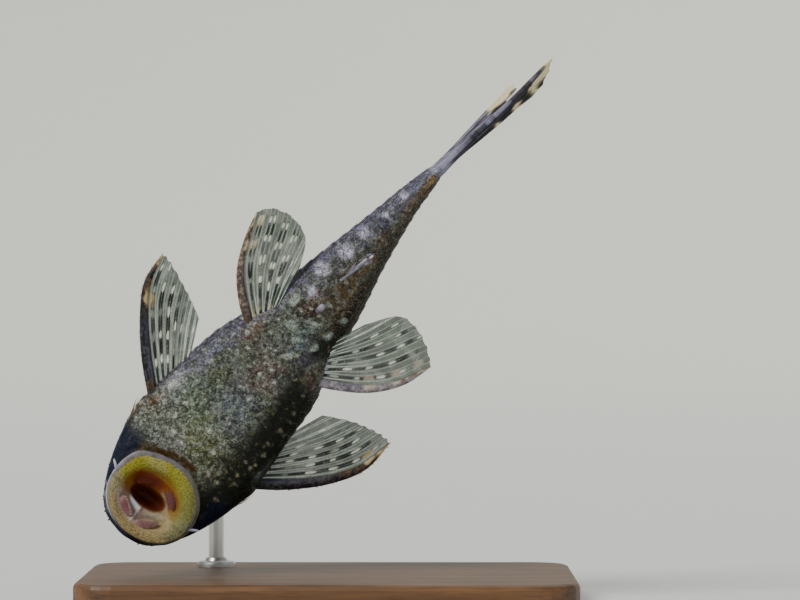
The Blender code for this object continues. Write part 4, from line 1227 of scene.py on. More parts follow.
@dataclass
class Odontodes:
    """The tiny teeth that cover the bony plates, longest along each plate's rear edge."""

    body: Body
    markings: Markings
    seed: int = 17
    on_head: int = 2600
    # Rows across a plate: how far each lies in front of the rear edge, as a share of the pitch
    plate_rows: tuple = (0.04, 0.3, 0.56, 0.8)

    def roots(self) -> tuple[Array, Array, Array]:
        """Where they stand and how long they are.

        Returns:
            Distances behind the snout, angles, and lengths.
        """
        draw = np.random.default_rng(self.seed)
        found = []
        for low, high, start, shift in PLATE_ROWS:
            breadth = 0.13 * (high - low)
            for k in range(PLATES_IN_ROW):
                for row, place in enumerate(self.plate_rows):
                    count = max(int(breadth / (0.26 if row == 0 else 0.42)), 3)
                    across = (np.arange(count) + draw.uniform(0.3, 0.7, count)) / count
                    x = plate_rear(np.array(float(k)), across, shift) - place * PLATE_PITCH
                    keep = (x > start + 0.4) & (x < BODY_LENGTH - 1.8)
                    length = draw.uniform(0.24, 0.38, count) if row == 0 else draw.uniform(0.12, 0.2, count)
                    length = length * (1.0 - 0.7 * ease(x, 52.0, 59.0))
                    angle = low + across * (high - low)
                    for side in (1, -1):
                        found.append(np.stack((x, mirrored(angle, side), length), axis=1)[keep])
        count = self.on_head
        x = draw.uniform(3.2, 17.5, count)
        angle = np.degrees(np.arcsin(draw.uniform(0.1, 1.0, count)))
        angle = np.where(draw.random(count) < 0.5, angle, 180.0 - angle)
        found.append(np.stack((x, angle, draw.uniform(0.1, 0.18, count)), axis=1))
        every = np.vstack(found)
        keep = np.ones(len(every), bool)
        points = self.body.point(every[:, 0], every[:, 1])
        for side in (1, -1):
            centre, _ = self.body.eye(side)
            keep &= np.linalg.norm(points - centre, axis=1) > 2.1
        for nostril in NOSTRIL_ANGLES:
            keep &= np.linalg.norm(points - self.body.point(NOSTRIL_STATION, nostril), axis=1) > 1.1
        every = every[keep]
        return every[:, 0], every[:, 1], every[:, 2]

    def build(self) -> bpy.types.Object:
        """Make the coat of odontodes as one joined mesh."""
        draw = np.random.default_rng(self.seed + 1)
        x, angle, length = self.roots()
        outward = self.body.outward(x, angle)
        ways = np.array((1.0, 0.0, 0.0)) + outward * 0.42 + draw.normal(0.0, 0.07, outward.shape)
        ways /= np.linalg.norm(ways, axis=1, keepdims=True)
        base = self.body.point(x, angle) + outward * 0.05
        points, faces, which = needles(base, ways, length, 0.035 + 0.05 * length)
        tone = self.markings.tone(self.body.point(x, angle), angle)[which]
        tone = paint(tone, "#9a9290", np.full(len(tone), 0.3))
        uv = tuft_map(np.stack((x / BODY_LENGTH, (angle + 90.0) / 360.0), axis=1), which, faces)
        return mesh_piece("odontodes", points, [faces], tone, [uv], FISH_SKIN)


@dataclass
class CheekSpines:
    """The longer bristles that lie back behind each cheek."""

    body: Body
    rows: int = 4
    in_row: int = 6
    seed: int = 29
    sides: int = 7

    def build(self) -> bpy.types.Object:
        """Make both clusters."""
        draw = np.random.default_rng(self.seed)
        roots, ways, lengths, bends = [], [], [], []
        for side in (1, -1):
            for row in range(self.rows):
                for k in range(self.in_row):
                    x = 9.3 + 0.52 * k + 0.25 * row + draw.uniform(-0.1, 0.1)
                    angle = mirrored(3.0 + 8.5 * row + draw.uniform(-2.0, 2.0), side)
                    outward = self.body.outward(x, angle)
                    way = np.array((0.9, 0.0, 0.0)) + outward * 0.42 + draw.normal(0.0, 0.05, 3)
                    roots.append(self.body.point(x, angle) - outward * 0.15)
                    ways.append(way / np.linalg.norm(way))
                    lengths.append(1.3 + 1.0 * k / (self.in_row - 1) + draw.uniform(-0.15, 0.15))
                    bends.append(np.array((0.22, 0.0, 0.0)) - outward * 0.12)
        radius = np.full(len(roots), 0.11)
        points, faces, _ = needles(
            np.array(roots), np.array(ways), np.array(lengths), radius, self.sides, np.array(bends)
        )
        tip = needle_share(len(points), self.sides)
        tone = paint(plain("#2e1f17", points), "#8a5a30", ease(tip, 0.4, 1.0))
        return mesh_piece("cheek_spines", points, [faces], tone, None, TOOTH)


def soft_cone(
    root: Array, way: Array, length: float, radius: float, tip: float, lean: Array
) -> tuple[Array, Array]:
    """A soft rounded finger, such as a tentacle, a barbel or a papilla.

    Args:
        root: Its root.
        way: Its direction.
        length: Its length.
        radius: Its radius at the root.
        tip: Its radius near the tip.
        lean: How far its tip bends aside.

    Returns:
        Vertices and four-cornered faces.
    """
    share = np.linspace(0.0, 1.0, CONE_ROWS)
    across = np.cross(way, np.array((0.2, 0.5, 0.84)))
    across /= np.linalg.norm(across)
    other = np.cross(way, across)
    rounded = np.sqrt(np.clip(1.0 - ease(share, 0.75, 1.0) ** 2 * 0.995, 0.0, 1.0))
    swell = (radius + (tip - radius) * share) * rounded
    middle = root + way * (share * length)[:, None] + lean * (share**2)[:, None]
    turn = circle(CONE_SIDES)
    around = across * np.cos(turn)[:, None] + other * np.sin(turn)[:, None]
    points = middle[:, None] + around[None] * swell[:, None, None]
    faces, _ = grid_faces(CONE_ROWS, CONE_SIDES, True, True)
    cap = np.arange(CONE_SIDES)[None] + (CONE_ROWS - 1) * CONE_SIDES
    return points.reshape(-1, 3), faces, cap


def joined(parts: list[tuple[Array, Array, Array]]) -> tuple[Array, list[Array], Array]:
    """Put many soft cones into one set of arrays.

    Args:
        parts: Vertices, faces and cap of each.

    Returns:
        All vertices, all faces, and the share along its cone of each vertex.
    """
    points, quads, caps, start = [], [], [], 0
    for vertices, faces, cap in parts:
        points.append(vertices)
        quads.append(faces + start)
        caps.append(cap + start)
        start += len(vertices)
    share = np.tile(np.repeat(np.linspace(0.0, 1.0, CONE_ROWS), CONE_SIDES), len(parts))
    return np.vstack(points), [np.vstack(quads), np.vstack(caps)], share


@dataclass
class SnoutTentacles:
    """Short soft points on the naked margin of the snout."""

    body: Body
    count: int = 18
    seed: int = 11

    def build(self) -> bpy.types.Object:
        """Make the row of tentacles."""
        draw = np.random.default_rng(self.seed)
        parts = []
        for k in range(self.count):
            place = -1.0 + 2.0 * k / (self.count - 1)
            x = 0.3 + 6.2 * abs(place) ** 1.4
            angle = mirrored((24.0 if k % 2 == 0 else 12.0) + draw.uniform(-3.0, 3.0), place)
            outward = self.body.outward(x, angle)
            way = outward + np.array((-0.3, 0.0, 0.1))
            way /= np.linalg.norm(way)
            length = (0.44 if k % 2 == 0 else 0.3) + draw.uniform(-0.05, 0.06)
            lean = np.array((-0.08, 0.0, draw.uniform(-0.05, 0.05)))
            parts.append(soft_cone(self.body.point(x, angle) - way * 0.12, way, length, 0.17, 0.07, lean))
        points, faces, share = joined(parts)
        tone = paint(plain("#16151a", points), "#3a3230", ease(share, 0.4, 1.0))
        return mesh_piece("snout_tentacles", points, faces, tone, None, FISH_SKIN)


@dataclass
class Mouth:
    """The sucker mouth: two broad papillose lips round a basin, and the throat."""

    rings: int = 170
    columns: int = 420
    face: tuple = (
        (0.0, 2.3), (0.1, 2.2), (0.2, 1.7), (0.28, 0.85), (0.34, 0.15), (0.44, -0.12), (0.55, -0.45),
        (0.66, -0.95), (0.76, -1.24), (0.85, -1.32), (0.92, -1.27), (0.97, -1.1), (1.0, -0.95),
        (0.99, -0.7), (0.95, -0.55), (0.9, -0.4), (0.85, -0.1), (0.82, 0.6),
    )  # fmt: skip

    @staticmethod
    def _spread(share: Array, turn: Array) -> tuple[Array, Array]:
        """Places across the mouth for a share of its reach and a direction.

        Args:
            share: From 0 at the throat to 1 at the margin.
            turn: Direction in radians, 0 tailward and a quarter turn to the right.

        Returns:
            Distances tailward and to the right of the mouth's centre.
        """
        along = np.where(np.cos(turn) >= 0.0, DISC_REAR, DISC_FRONT)
        reach = share / np.sqrt((np.cos(turn) / along) ** 2 + (np.sin(turn) / DISC_SIDE) ** 2)
        outward = ease(share, 0.2, 0.55)
        reach = reach * (1.0 + (disc_swell((turn + np.pi) % (2.0 * np.pi) - np.pi) - 1.0) * outward)
        length = 0.62 + 0.38 * outward
        breadth = 1.33 - 0.33 * outward
        y = reach * np.sin(turn) * breadth - 0.68 * (1.0 - outward)
        return reach * np.cos(turn) * length + (0.1 * y - 0.12) * (1.0 - outward), y

    def tone(self, x: Array, y: Array, points: Array, depth: Array, turn: Array, under: Array) -> Array:
        """Colours of the mouth.

        Args:
            x: Distances tailward of the mouth's centre.
            y: Distances to its right.
            points: Places of the fish's frame.
            depth: How far into the throat, from 0 to 1.
            turn: Direction in radians.
            under: Where the surface has turned back under the lip.

        Returns:
            A linear colour for each place.
        """
        share = disc_share(x, y)
        drift = (cloud(points, 0.8, 3) - 0.5) * 0.5
        rear = ease(x + drift, -1.2, 0.6)
        tone = plain("#978660", points)
        lines = np.sin(2.0 * np.pi * (share * 5.6 + drift * 0.5) / 0.3)
        inner = spot(x, y, (-1.45, -0.25, 1.95, 3.6), 0.25)
        ring = bell(np.hypot((x + 1.35) / 2.0, (y + 0.25) / 3.6), 1.0, 0.1)
        hind = spot(x, y, (1.35, -0.45, 1.5, 3.5), 0.3) * ease(x, -0.6, 0.3)
        margin = ease(share + drift * 0.05 + 0.055 * rear, 0.93, 0.96)
        # Where the margin carries a painted highlight
        painted_rim_highlight = bell(np.degrees(turn), 235.0, 45.0)
        tone = layered(
            tone,
            ("#8c8a34", rear),
            ("#9c9524", rear * ease(y, 2.5, -1.5) * 0.5),
            # A painted highlight, pale cream, on the rear lip
            ("#a9a468", rear * spot(x, y, (4.1, -2.6, 1.0, 2.2, 30.0), 1.2) * 0.6),
            ("#64683a", rear * ease(y, 1.2, 4.2) * 0.8),
            # Browner down the rear lip's inner slope towards the throat, partly its own colour and partly
            # painted shade
            ("#785814", rear * ease(np.hypot(x / 3.9, (y + 0.4) / 4.5), 1.04, 0.8) * 0.9),
            # Greyer and paler patches near the two sides of the disc
            ("#72755a", spot(x, y, (-0.9, 5.2, 2.0, 1.2, 20.0), 0.9) * 0.85),
            ("#8f8a6c", spot(x, y, (-1.1, -5.1, 1.5, 0.9, -20.0), 0.9) * 0.8),
            # Concentric lines of the front lip
            ("#80683e", (1.0 - rear) * ease(lines, -0.2, 1.0) * 0.4 * ease(share, 0.66, 0.76)),
            # Whitish violet flesh between front lip and throat, tan towards the right
            ("#8a766a", inner * 0.9),
            ("#80744c", inner * spot(x, y, (-0.8, 3.0, 1.5, 1.5), 0.9) * 0.9),
            ("#a89f90", spot(x, y, (-1.2, 1.6, 1.35, 0.36, 61.0), 1.0) * 0.55),
            ("#bfabb4", ring * ease(x, -0.9, -1.8) * ease(y, 1.8, 0.2) * 0.5),
            ("#96835a", ring * ease(y, 0.6, 2.2) * 0.7),
            # Nearly white between the left front pad and the throat: whitish flesh with a painted highlight
            # on it
            ("#d6d2e2", spot(x, y, (-1.6, -1.35, 1.0, 0.36, -65.0), 1.0) * 0.9),
            # A thin pale line along the fold between the front pads
            ("#b9a8ae", inner * bell(y, -0.45, 0.16) * ease(x, -1.2, -1.8) * 0.7),
            # Dark red, orange and mauve flesh of the lower jaw behind the throat
            ("#74460c", spot(x, y, (-0.1, -3.2, 1.2, 0.8, -20.0), 0.9) * 0.85),
            ("#743e08", hind),
            ("#541604", hind * spot(x, y, (1.6, -1.9, 1.15, 2.1, -25.0), 0.8) * 0.85),
            ("#64403c", hind * spot(x, y, (1.3, 2.0, 1.2, 0.7, -51.0), 0.9) * 0.9),
            ("#948270", spot(x, y, (0.8, 1.45, 1.25, 0.3, -51.0), 1.0) * 0.8),
            # Amber rim, then the brown throat, with painted shade that darkens it further in and most towards
            # the right
            ("#5c3a16", ease(depth, 0.03, 0.12) * 0.7),
            ("#56260a", ease(depth, 0.1, 0.26)),
            ("#4a1a08", ease(depth, 0.18, 0.5) * (0.55 + 0.45 * ease(y - x, -2.6, 0.4))),
            ("#4a1a08", ease(depth, 0.6, 0.95)),
            # Grey-lilac margin, broad behind, with a painted highlight, whitish, at the left front, and near
            # black round the front, a little to the right
            ("#6c6870", margin * 0.95),
            ("#5f6152", margin * ease(y, 0.0, 3.5) * 0.85),
            ("#4c4646", margin * ease(cloud(points, 0.7, 43), 0.5, 0.8) * 0.6),
            ("#b4bddb", ease(share, 0.95, 0.985) * painted_rim_highlight * 0.9),
            ("#1a171b", margin * bell(np.degrees(turn), 165.0, 48.0) * 0.92),
        )
        return paint(tone, "#5a5058", under)

    def build(self) -> bpy.types.Object:
        """Make lips, basin and throat as one skin.

        Returns:
            The mouth, which stands for its node.
        """
        share_knots = np.array([row[0] for row in self.face])
        heights = np.array([row[1] for row in self.face])
        travel = np.concatenate(([0.0], np.cumsum(np.hypot(np.diff(share_knots) * 5.7, np.diff(heights)))))
        t = np.linspace(0.0, travel[-1], self.rings)
        share = through(travel, share_knots, t)[:, None]
        height = through(travel, heights, t)[:, None]
        turn = circle(self.columns)[None]
        share, height, turn = (
            np.broadcast_to(a, (self.rings, self.columns)).copy() for a in (share, height, turn)
        )
        under = np.broadcast_to(ease(t, travel[12] + 0.05, travel[12] + 0.3)[:, None], share.shape)
        round_margin = np.stack((6 * np.cos(turn), 6 * np.sin(turn), 0 * turn), axis=-1)
        ruffle = (cloud(round_margin, 1.6, 13) - 0.5) * 2.0
        edge = ease(share, 0.86, 1.0)
        share = np.where(share > 0.86, share - 0.012 * ruffle * edge - 0.012 * edge, share)
        x, y = self._spread(share, turn)
        points = np.stack((x + DISC_X, y + DISC_Y, height), axis=-1)
        points[..., 2] += 0.09 * ruffle * edge
        depth = np.clip(height / 2.0, 0.0, 1.0) * (1.0 - under)
        lips = ease(np.hypot(x / 4.3, y / 4.6), 0.72, 0.95) * (1.0 - ease(share, 0.93, 0.98))
        bumps, own = cells(points * np.array((1.0, 1.0, 0.3)), 0.23, 71)
        relief = lips * 0.08 * ease(bumps, 0.62, 0.08) * (0.5 + 0.5 * own)
        bare = (1.0 - lips) * (1.0 - ease(share, 0.9, 0.95))
        relief += bare * 0.03 * ease(cells(points, 0.4, 73)[0], 0.6, 0.1)
        # Low ridges: the fold between the two front pads, and the sill in front of the throat
        relief += 0.14 * bell(y, -0.4, 0.24) * spot(x, y, (-2.3, -0.4, 1.2, 1.0), 0.8)
        relief += 0.16 * spot(x, y, (-1.35, -0.6, 0.55, 2.4), 0.8)
        relief += 0.22 * spot(x, y, (1.75, -0.4, 0.9, 3.0), 0.8)
        # Sockets round the two front tooth pads
        for px, py, turned in ((-2.6, -2.03, -58.0), (-2.6, 1.42, 54.0)):
            relief -= 0.16 * spot(x, y, (px, py, 1.75, 0.9, turned), 0.8)
        # The front lip is narrower and parts from the rear lip by a crease at each corner
        crease = bell(x + 0.6, 0.0, 0.16) * ease(np.abs(y), 3.4, 4.4)
        relief -= 0.14 * crease * (1.0 - under)
        points[..., 2] -= relief * (1.0 - under)
        tone = self.tone(x, y, points, depth, turn, under)
        papillae = lips * (1.0 - ease(share, 0.9, 0.95))
        # Painted light on the papillae: paler tops and darker gaps between them; and painted shade in the
        # crease at each corner
        tone = layered(
            tone,
            ("#c2b880", papillae * ease(bumps, 0.3, 0.05) * (0.15 + 0.35 * own)),
            ("#4a4018", papillae * ease(bumps, 0.45, 0.8) * 0.6),
            ("#6a5a3a", crease * 0.6),
        )
        faces, _ = grid_faces(self.rings, self.columns, True)
        # The mouth unwraps as a disc, with the throat in the middle
        out = 0.48 * t[:, None] / travel[-1]
        uv = np.stack((0.5 + out * np.cos(turn), 0.5 + out * np.sin(turn)), axis=-1).reshape(-1, 2)[faces]
        mouth = mesh_piece("oral_lips", points, [faces], tone, [uv], LIP_FLESH)
        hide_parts("oral_disc")
        return mouth


@dataclass
class Barbels:
    """The short barbel at each corner of the mouth."""

    def build(self) -> bpy.types.Object:
        """Make both barbels."""
        parts = []
        for side in (1, -1):
            root = np.array((DISC_X + 0.1, DISC_Y + side * 5.5, -0.95))
            way = np.array((0.85, side * 1.5, 0.05))
            way /= np.linalg.norm(way)
            parts.append(soft_cone(root, way, 1.65, 0.27, 0.12, np.array((0.12, side * 0.05, 0.08))))
        points, faces, share = joined(parts)
        tone = paint(plain("#8f869a", points), "#bcbacc", ease(share, 0.2, 0.9))
        return mesh_piece("mouth_barbels", points, faces, tone, None, LIP_FLESH)


@dataclass
class Jaw:
    """One tooth-bearing pad: a ridged cushion of gum with a comb of amber teeth along its inner edge."""

    name: str
    x: float
    y: float
    heading: float
    colour: str
    teeth: int
    half_length: float = 1.35
    half_breadth: float = 0.6
    tooth_length: float = 0.45
    edge: str = "#c4a6ac"
    z: float = -0.8
    thick: float = 0.22
    tooth: str = "#b3a294"
    sides: int = 6

    def build(self) -> list[bpy.types.Object]:
        """Make the pad and its teeth.

        Returns:
            The pad, which stands for its node, and the teeth.
        """
        rows, columns = 60, 90
        polar = np.linspace(0.02, np.pi - 0.02, rows)[:, None]
        turn = circle(columns)[None]
        along = np.sin(polar) * np.cos(turn)
        across = np.sin(polar) * np.sin(turn)
        up = np.broadcast_to(np.cos(polar), along.shape)
        ridge = 0.035 * np.cos(2.0 * np.pi * along * self.half_length / 0.2) * ease(-up, 0.0, 0.5)
        bow = 0.16 * along**2
        head = math.radians(self.heading)
        towards = np.array((DISC_X - self.x, DISC_Y - self.y))
        sign = 1.0 if (-math.sin(head) * towards[0] + math.cos(head) * towards[1]) > 0 else -1.0
        a = along * self.half_length
        b = across * self.half_breadth * (1.0 + ridge) + sign * bow
        c = up * self.thick - ridge * 0.6
        x = self.x + a * math.cos(head) - b * math.sin(head)
        y = self.y + a * math.sin(head) + b * math.cos(head)
        points = np.stack((x, y, self.z + c), axis=-1)
        tone = plain(self.colour, points)
        tone = layered(
            tone,
            (self.edge, ease(np.hypot(along, across), 0.4, 1.0) * 0.8),
            ("#4a2420", ease(cloud(points, 0.5, 15), 0.5, 0.9) * 0.25),
        )
        faces, _ = grid_faces(rows, columns, True)
        top = np.arange(columns)[None, ::-1]
        low = np.arange(columns)[None] + (rows - 1) * columns
        pad = mesh_piece(self.name + "_pad", points, [faces, top, low], tone, None, GUM)
        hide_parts(self.name)
        share = np.linspace(-0.8, 0.8, self.teeth)
        inward = sign * np.array((-math.sin(head), math.cos(head)))
        start = sign * (self.half_breadth * 0.55 * np.sqrt(1 - share**2) + 0.16 * share**2)
        roots = np.stack(
            (
                self.x + share * self.half_length * math.cos(head) - start * math.sin(head),
                self.y + share * self.half_length * math.sin(head) + start * math.cos(head),
                np.full(self.teeth, self.z - 0.4 * self.thick),
            ),
            axis=1,
        )
        way = np.array((inward[0] * 0.72, inward[1] * 0.72, -0.55))
        way /= np.linalg.norm(way)
        ways = np.broadcast_to(way, roots.shape)
        bend = np.broadcast_to(np.array((inward[0] * 0.1, inward[1] * 0.1, 0.12)), roots.shape)
        lengths = np.full(self.teeth, self.tooth_length)
        vertices, tris, _ = needles(roots, ways, lengths, np.full(self.teeth, 0.045), self.sides, bend)
        tip = needle_share(len(vertices), self.sides)
        tone = paint(plain(self.tooth, vertices), "#a8703a", ease(tip, 0.5, 1.0) * 0.8)
        comb = mesh_piece(self.name + "_teeth", vertices, [tris], tone, None, TOOTH)
        return [pad, comb]


JAWS = (
    Jaw("premaxilla_left", 3.1, -2.15, -58.0, "#7c5358", 10, 1.4, 0.7, edge="#957a78"),
    Jaw("premaxilla_right", 3.1, 1.3, 54.0, "#7c5757", 10, 1.5, 0.6, edge="#977e76"),
    Jaw(
        "dentary_left", 7.45, -2.15, 50.0, "#4a1602", 9, 1.5, 0.6,
        tooth_length=0.1, edge="#541c04", z=-0.34, thick=0.08, tooth="#5c2e06",
    ),
    Jaw(
        "dentary_right", 7.35, 1.75, -56.0, "#663e42", 9, 1.3, 0.42,
        tooth_length=0.1, edge="#664238", z=-0.45, thick=0.11, tooth="#6a4826",
    ),
)  # fmt: skip


@dataclass
class Eye:
    """One eyeball: gold-flecked iris, narrow pupil with its lobe, and a clear bulging cornea."""

    name: str
    side: int
    body: Body

    def build(self) -> bpy.types.Object:
        """Make the eye.

        Returns:
            The eyeball, which stands for its node.
        """
        centre, axis = self.body.eye(self.side)
        rows, columns = 90, 128
        across = np.cross(axis, np.array((1.0, 0.0, 0.0)))
        across /= np.linalg.norm(across)
        other = np.cross(across, axis)
        polar = np.linspace(0.0, np.pi, rows)[:, None] * np.ones((1, columns))
        turn = circle(columns)[None] * np.ones((rows, 1))
        off = np.degrees(polar)
        # The ball is drawn in at the rim of the iris, and the cornea bulges out in front of it
        radius = EYE_RADIUS * (1.0 - 0.06 * ease(off, 62.0, 50.0) + 0.07 * ease(off, 46.0, 0.0))
        ball = (
            axis * np.cos(polar)[..., None]
            + across * (np.sin(polar) * np.cos(turn))[..., None]
            + other * (np.sin(polar) * np.sin(turn))[..., None]
        )
        points = centre + ball * radius[..., None]
        tone = plain("#17120f", points)
        iris = ease(off, 47.0, 44.0)
        tone = paint(tone, "#6b4a24", iris)
        streak = cloud(np.stack((np.cos(turn) * 4, np.sin(turn) * 4, off / 16.0), axis=-1), 0.35, 19)
        tone = layered(
            tone,
            ("#c09a4c", iris * ease(streak, 0.45, 0.8) * 0.85),
            ("#3a2614", iris * bell(off, 44.0, 3.0)),
        )
        lobe = 6.5 * bell((np.degrees(turn) - 90.0 + 180.0) % 360.0 - 180.0, 0.0, 38.0)
        pupil = ease(off, 19.5 - lobe, 18.0 - lobe)
        tone = layered(
            tone,
            ("#d8b868", iris * bell(off, 21.0 - lobe, 1.4) * 0.7),
            ("#050404", pupil),
        )
        faces, uv = grid_faces(rows, columns, True)
        corner = points[30, 0]
        if np.cross(points[31, 1] - corner, points[30, 1] - corner) @ (corner - centre) > 0.0:
            faces, uv = faces[:, ::-1], uv[:, ::-1]
        eyeball = mesh_piece(self.name + "_ball", points, [faces], tone, [uv], IRIS)
        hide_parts(self.name)
        return eyeball


# Distances from the root of a fin with a stem, and the half thickness there as a share of the fin's own stem
STEM_PROFILE = ((0.0, 1.0, 2.0, 3.7, 5.2, 7.5, 11.0, 13.5), (0.9, 0.85, 0.62, 0.36, 0.3, 0.3, 0.22, 0.0))


@dataclass
class Fin:
    """A fan of branched rays with a clear web, pigment in bands, and a stout front spine.

    Its leading edge runs from the front of the root to the start of the margin. Root and margin hold the
    points that follow on from its two ends.
    """

    name: str
    leading: tuple
    root: tuple
    margin: tuple
    rays: int
    spine: float
    lift: tuple
    columns: int = 210
    rows: int = 110
    two_spines: bool = False
    web: str = "#4a5a4c"
    opacity: float = 0.66
    spine_tone: str = "#1a1614"
    spine_root: str = "#6e4a2a"
    band: float = 2.6
    band_shift: float = 0.6
    pale: str = "#e4e6d8"
    dark: str = "#17191b"
    blotches: tuple = (0.62, 0.8)
    tip: str = "#d8c8a0"
    ink: float = 0.95
    flesh: str = "#b4ad88"
    rooted: float = 0.36
    fork: float = 0.13
    mottle: str = "#77706a"
    line: str = "#b4bcb6"
    # Colour of the painted sheen on the spine's inner side
    painted_sheen: str = "#565868"
    bright: float = 0.8
    # How strongly painted shade darkens one face
    face_shade: float = 0.0
    stem: float = 0.0

    def sheet(self, share: Array, along: Array) -> Array:
        """Places on the fin's middle sheet.

        Args:
            share: From 0 at the front edge to 1 at the last ray.
            along: From 0 at the root to 1 at the margin.

        Returns:
            Points of the fish's frame.
        """
        leading = np.array(self.leading, float)
        root, margin = np.vstack((leading[:1], self.root)), np.vstack((leading[-1:], self.margin))
        start, end = arc(root, share), arc(margin, share)
        straight = start + (end - start) * along[..., None]
        front = arc(leading, along) - (root[0] + (margin[0] - root[0]) * along[..., None])
        return straight + front * ((1.0 - share) ** 1.6)[..., None]

    def build(self) -> bpy.types.Object:
        """Make the fin.

        Returns:
            The fin, which stands for its node.
        """
        share, along = np.meshgrid(
            np.linspace(0.0, 1.0, self.columns), np.linspace(0.0, 1.0, self.rows), indexing="xy"
        )
        sheet = self.sheet(share, along)
        span = np.linalg.norm(np.diff(sheet, axis=1), axis=-1).sum(axis=1)[:, None]
        length = np.concatenate(
            (np.zeros((1, self.columns)), np.cumsum(np.linalg.norm(np.diff(sheet, axis=0), axis=-1), axis=0))
        )
        broad = self.spine * (1.0 - 0.3 * along) * np.sqrt(ease(along, 1.04, 0.78))
        width = np.minimum(broad / span, 0.5)
        last = np.where(self.two_spines, 1.0 - width, 1.0)
        # Rays: one shaft at the root, which parts in two towards the margin
        place = (share - width) / (last - width) * (self.rays + 0.2) - 0.6
        ray = np.clip(np.rint(place), 0, self.rays - 1)
        off = place - ray
        pitch = span * (last - width) / (self.rays + 0.2)
        gap = np.abs(off) * pitch
        branch = np.abs(gap - self.fork * ease(along, 0.25, 0.7))
        shaft = bell(branch, 0.0, 0.11 - 0.04 * along)
        in_spine = ease((width - share) * span, -0.06, 0.06)
        spine_share = np.clip(share / width, 0.0, 1.0)
        if self.two_spines:
            other = ease((share - last) * span, -0.06, 0.06)
            spine_share = np.where(other > in_spine, np.clip((1.0 - share) / width, 0.0, 1.0), spine_share)
            in_spine = np.maximum(in_spine, other)
        shaft = shaft * (1.0 - in_spine)
        joints = 0.5 + 0.5 * np.cos(2.0 * np.pi * length / 0.42)
        half = 0.06 + shaft * (0.13 - 0.07 * along) * (1.0 - 0.3 * joints * ease(along, 0.15, 0.3))
        dome = np.sqrt(np.clip(1.0 - (2.0 * spine_share - 1.0) ** 2, 0.0, 1.0))
        stout = broad * 0.4 * (0.45 + 0.55 * ease(along, 0.0, 0.22))
        half = np.maximum(half * (1.0 - in_spine), in_spine * (0.07 + stout * dome))
        half *= 1.0 - 0.75 * ease(share, 0.985, 1.0) * (0.0 if self.two_spines else 1.0)
        half *= 1.0 - 0.7 * ease(along, 0.96, 1.0)
        swell = self.stem * np.interp(length, *STEM_PROFILE)
        half = half + swell * np.sqrt(np.clip(1.0 - (2.0 * share - 1.0) ** 4, 0.0, 1.0))
        # A notched margin: each ray's tip stands out beyond the web
        web_back = (1.0 - np.exp(-((off / 0.42) ** 2))) * (1.0 - in_spine)
        notch = (
            0.007 * web_back * ease(along, 0.55, 1.0) ** 2
            + 0.005 * ease(branch, 0.08, 0.2) * ease(along, 0.8, 1.0) ** 2
        )
        sheet = self.sheet(share, along * (1.0 - notch))
        lift = np.array(self.lift, float)
        lift /= np.linalg.norm(lift)
        pleat = 0.11 * np.cos(np.pi * place) * ease(along, 0.05, 0.6) * (1.0 - in_spine)
        wave = np.sin(2.0 * np.pi * (along * 0.7 + share * 0.9))
        pleat += 0.22 * wave * ease(along, 0.1, 1.0) * (1.0 - in_spine)
        middle = sheet + lift * pleat[..., None] * (0.6 if self.rays > 8 else 1.0)
        front, back = middle + lift * half[..., None], middle - lift * half[..., None]
        streak = cloud(np.stack((place * 4.0, length, 0.0 * length), axis=-1), 1.1, 7)
        lines = (branch, branch if self.fork > 0.2 else gap, in_spine, spine_share, streak)
        tone = self.tones(share, along, length, ray, lines, sheet)
        rows, columns = self.rows, self.columns
        one, uv_one = grid_faces(rows, columns, False, True)
        two, uv_two = grid_faces(rows, columns, False)
        total = rows * columns
        rim = np.concatenate(
            (
                np.arange(columns),
                np.arange(1, rows) * columns + columns - 1,
                (rows - 1) * columns + np.arange(columns - 2, -1, -1),
                np.arange(rows - 2, 0, -1) * columns,
            )
        )
        ahead = np.roll(rim, -1)
        edge = np.stack((rim, ahead, ahead + total, rim + total), axis=1)
        edge_uv = np.full((len(edge), 4, 2), 0.5)
        uv_one = uv_one * np.array((1.0, 0.49))
        uv_two = uv_two * np.array((1.0, 0.49)) + np.array((0.0, 0.51))
        points = np.concatenate((front.reshape(-1, 3), back.reshape(-1, 3)))
        # Painted shade darkens one face: its spines beyond the stem, and its front half behind the root, but
        # not its rim
        shaded_face_tone = tone.copy()
        face = ease(share, 0.6, 0.5) * ease(length, 1.6, 3.4) * ease(length, 9.0, 6.5)
        shade = np.maximum(in_spine * ease(length, 5.0, 9.0), face) * ease(share, 0.001, 0.007)
        shaded_face_tone[..., :3] = paint(tone[..., :3], "#0c0a0e", self.face_shade * shade * ease(along, 0.9, 0.84))
        tone = np.concatenate((shaded_face_tone.reshape(-1, 4), tone.reshape(-1, 4)))
        faces, uv = [one, two + total, edge], [uv_one, uv_two, edge_uv]
        piece = mesh_piece(self.name + "_web", points, faces, tone, uv, FIN_WEB)
        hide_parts(self.name)
        return piece

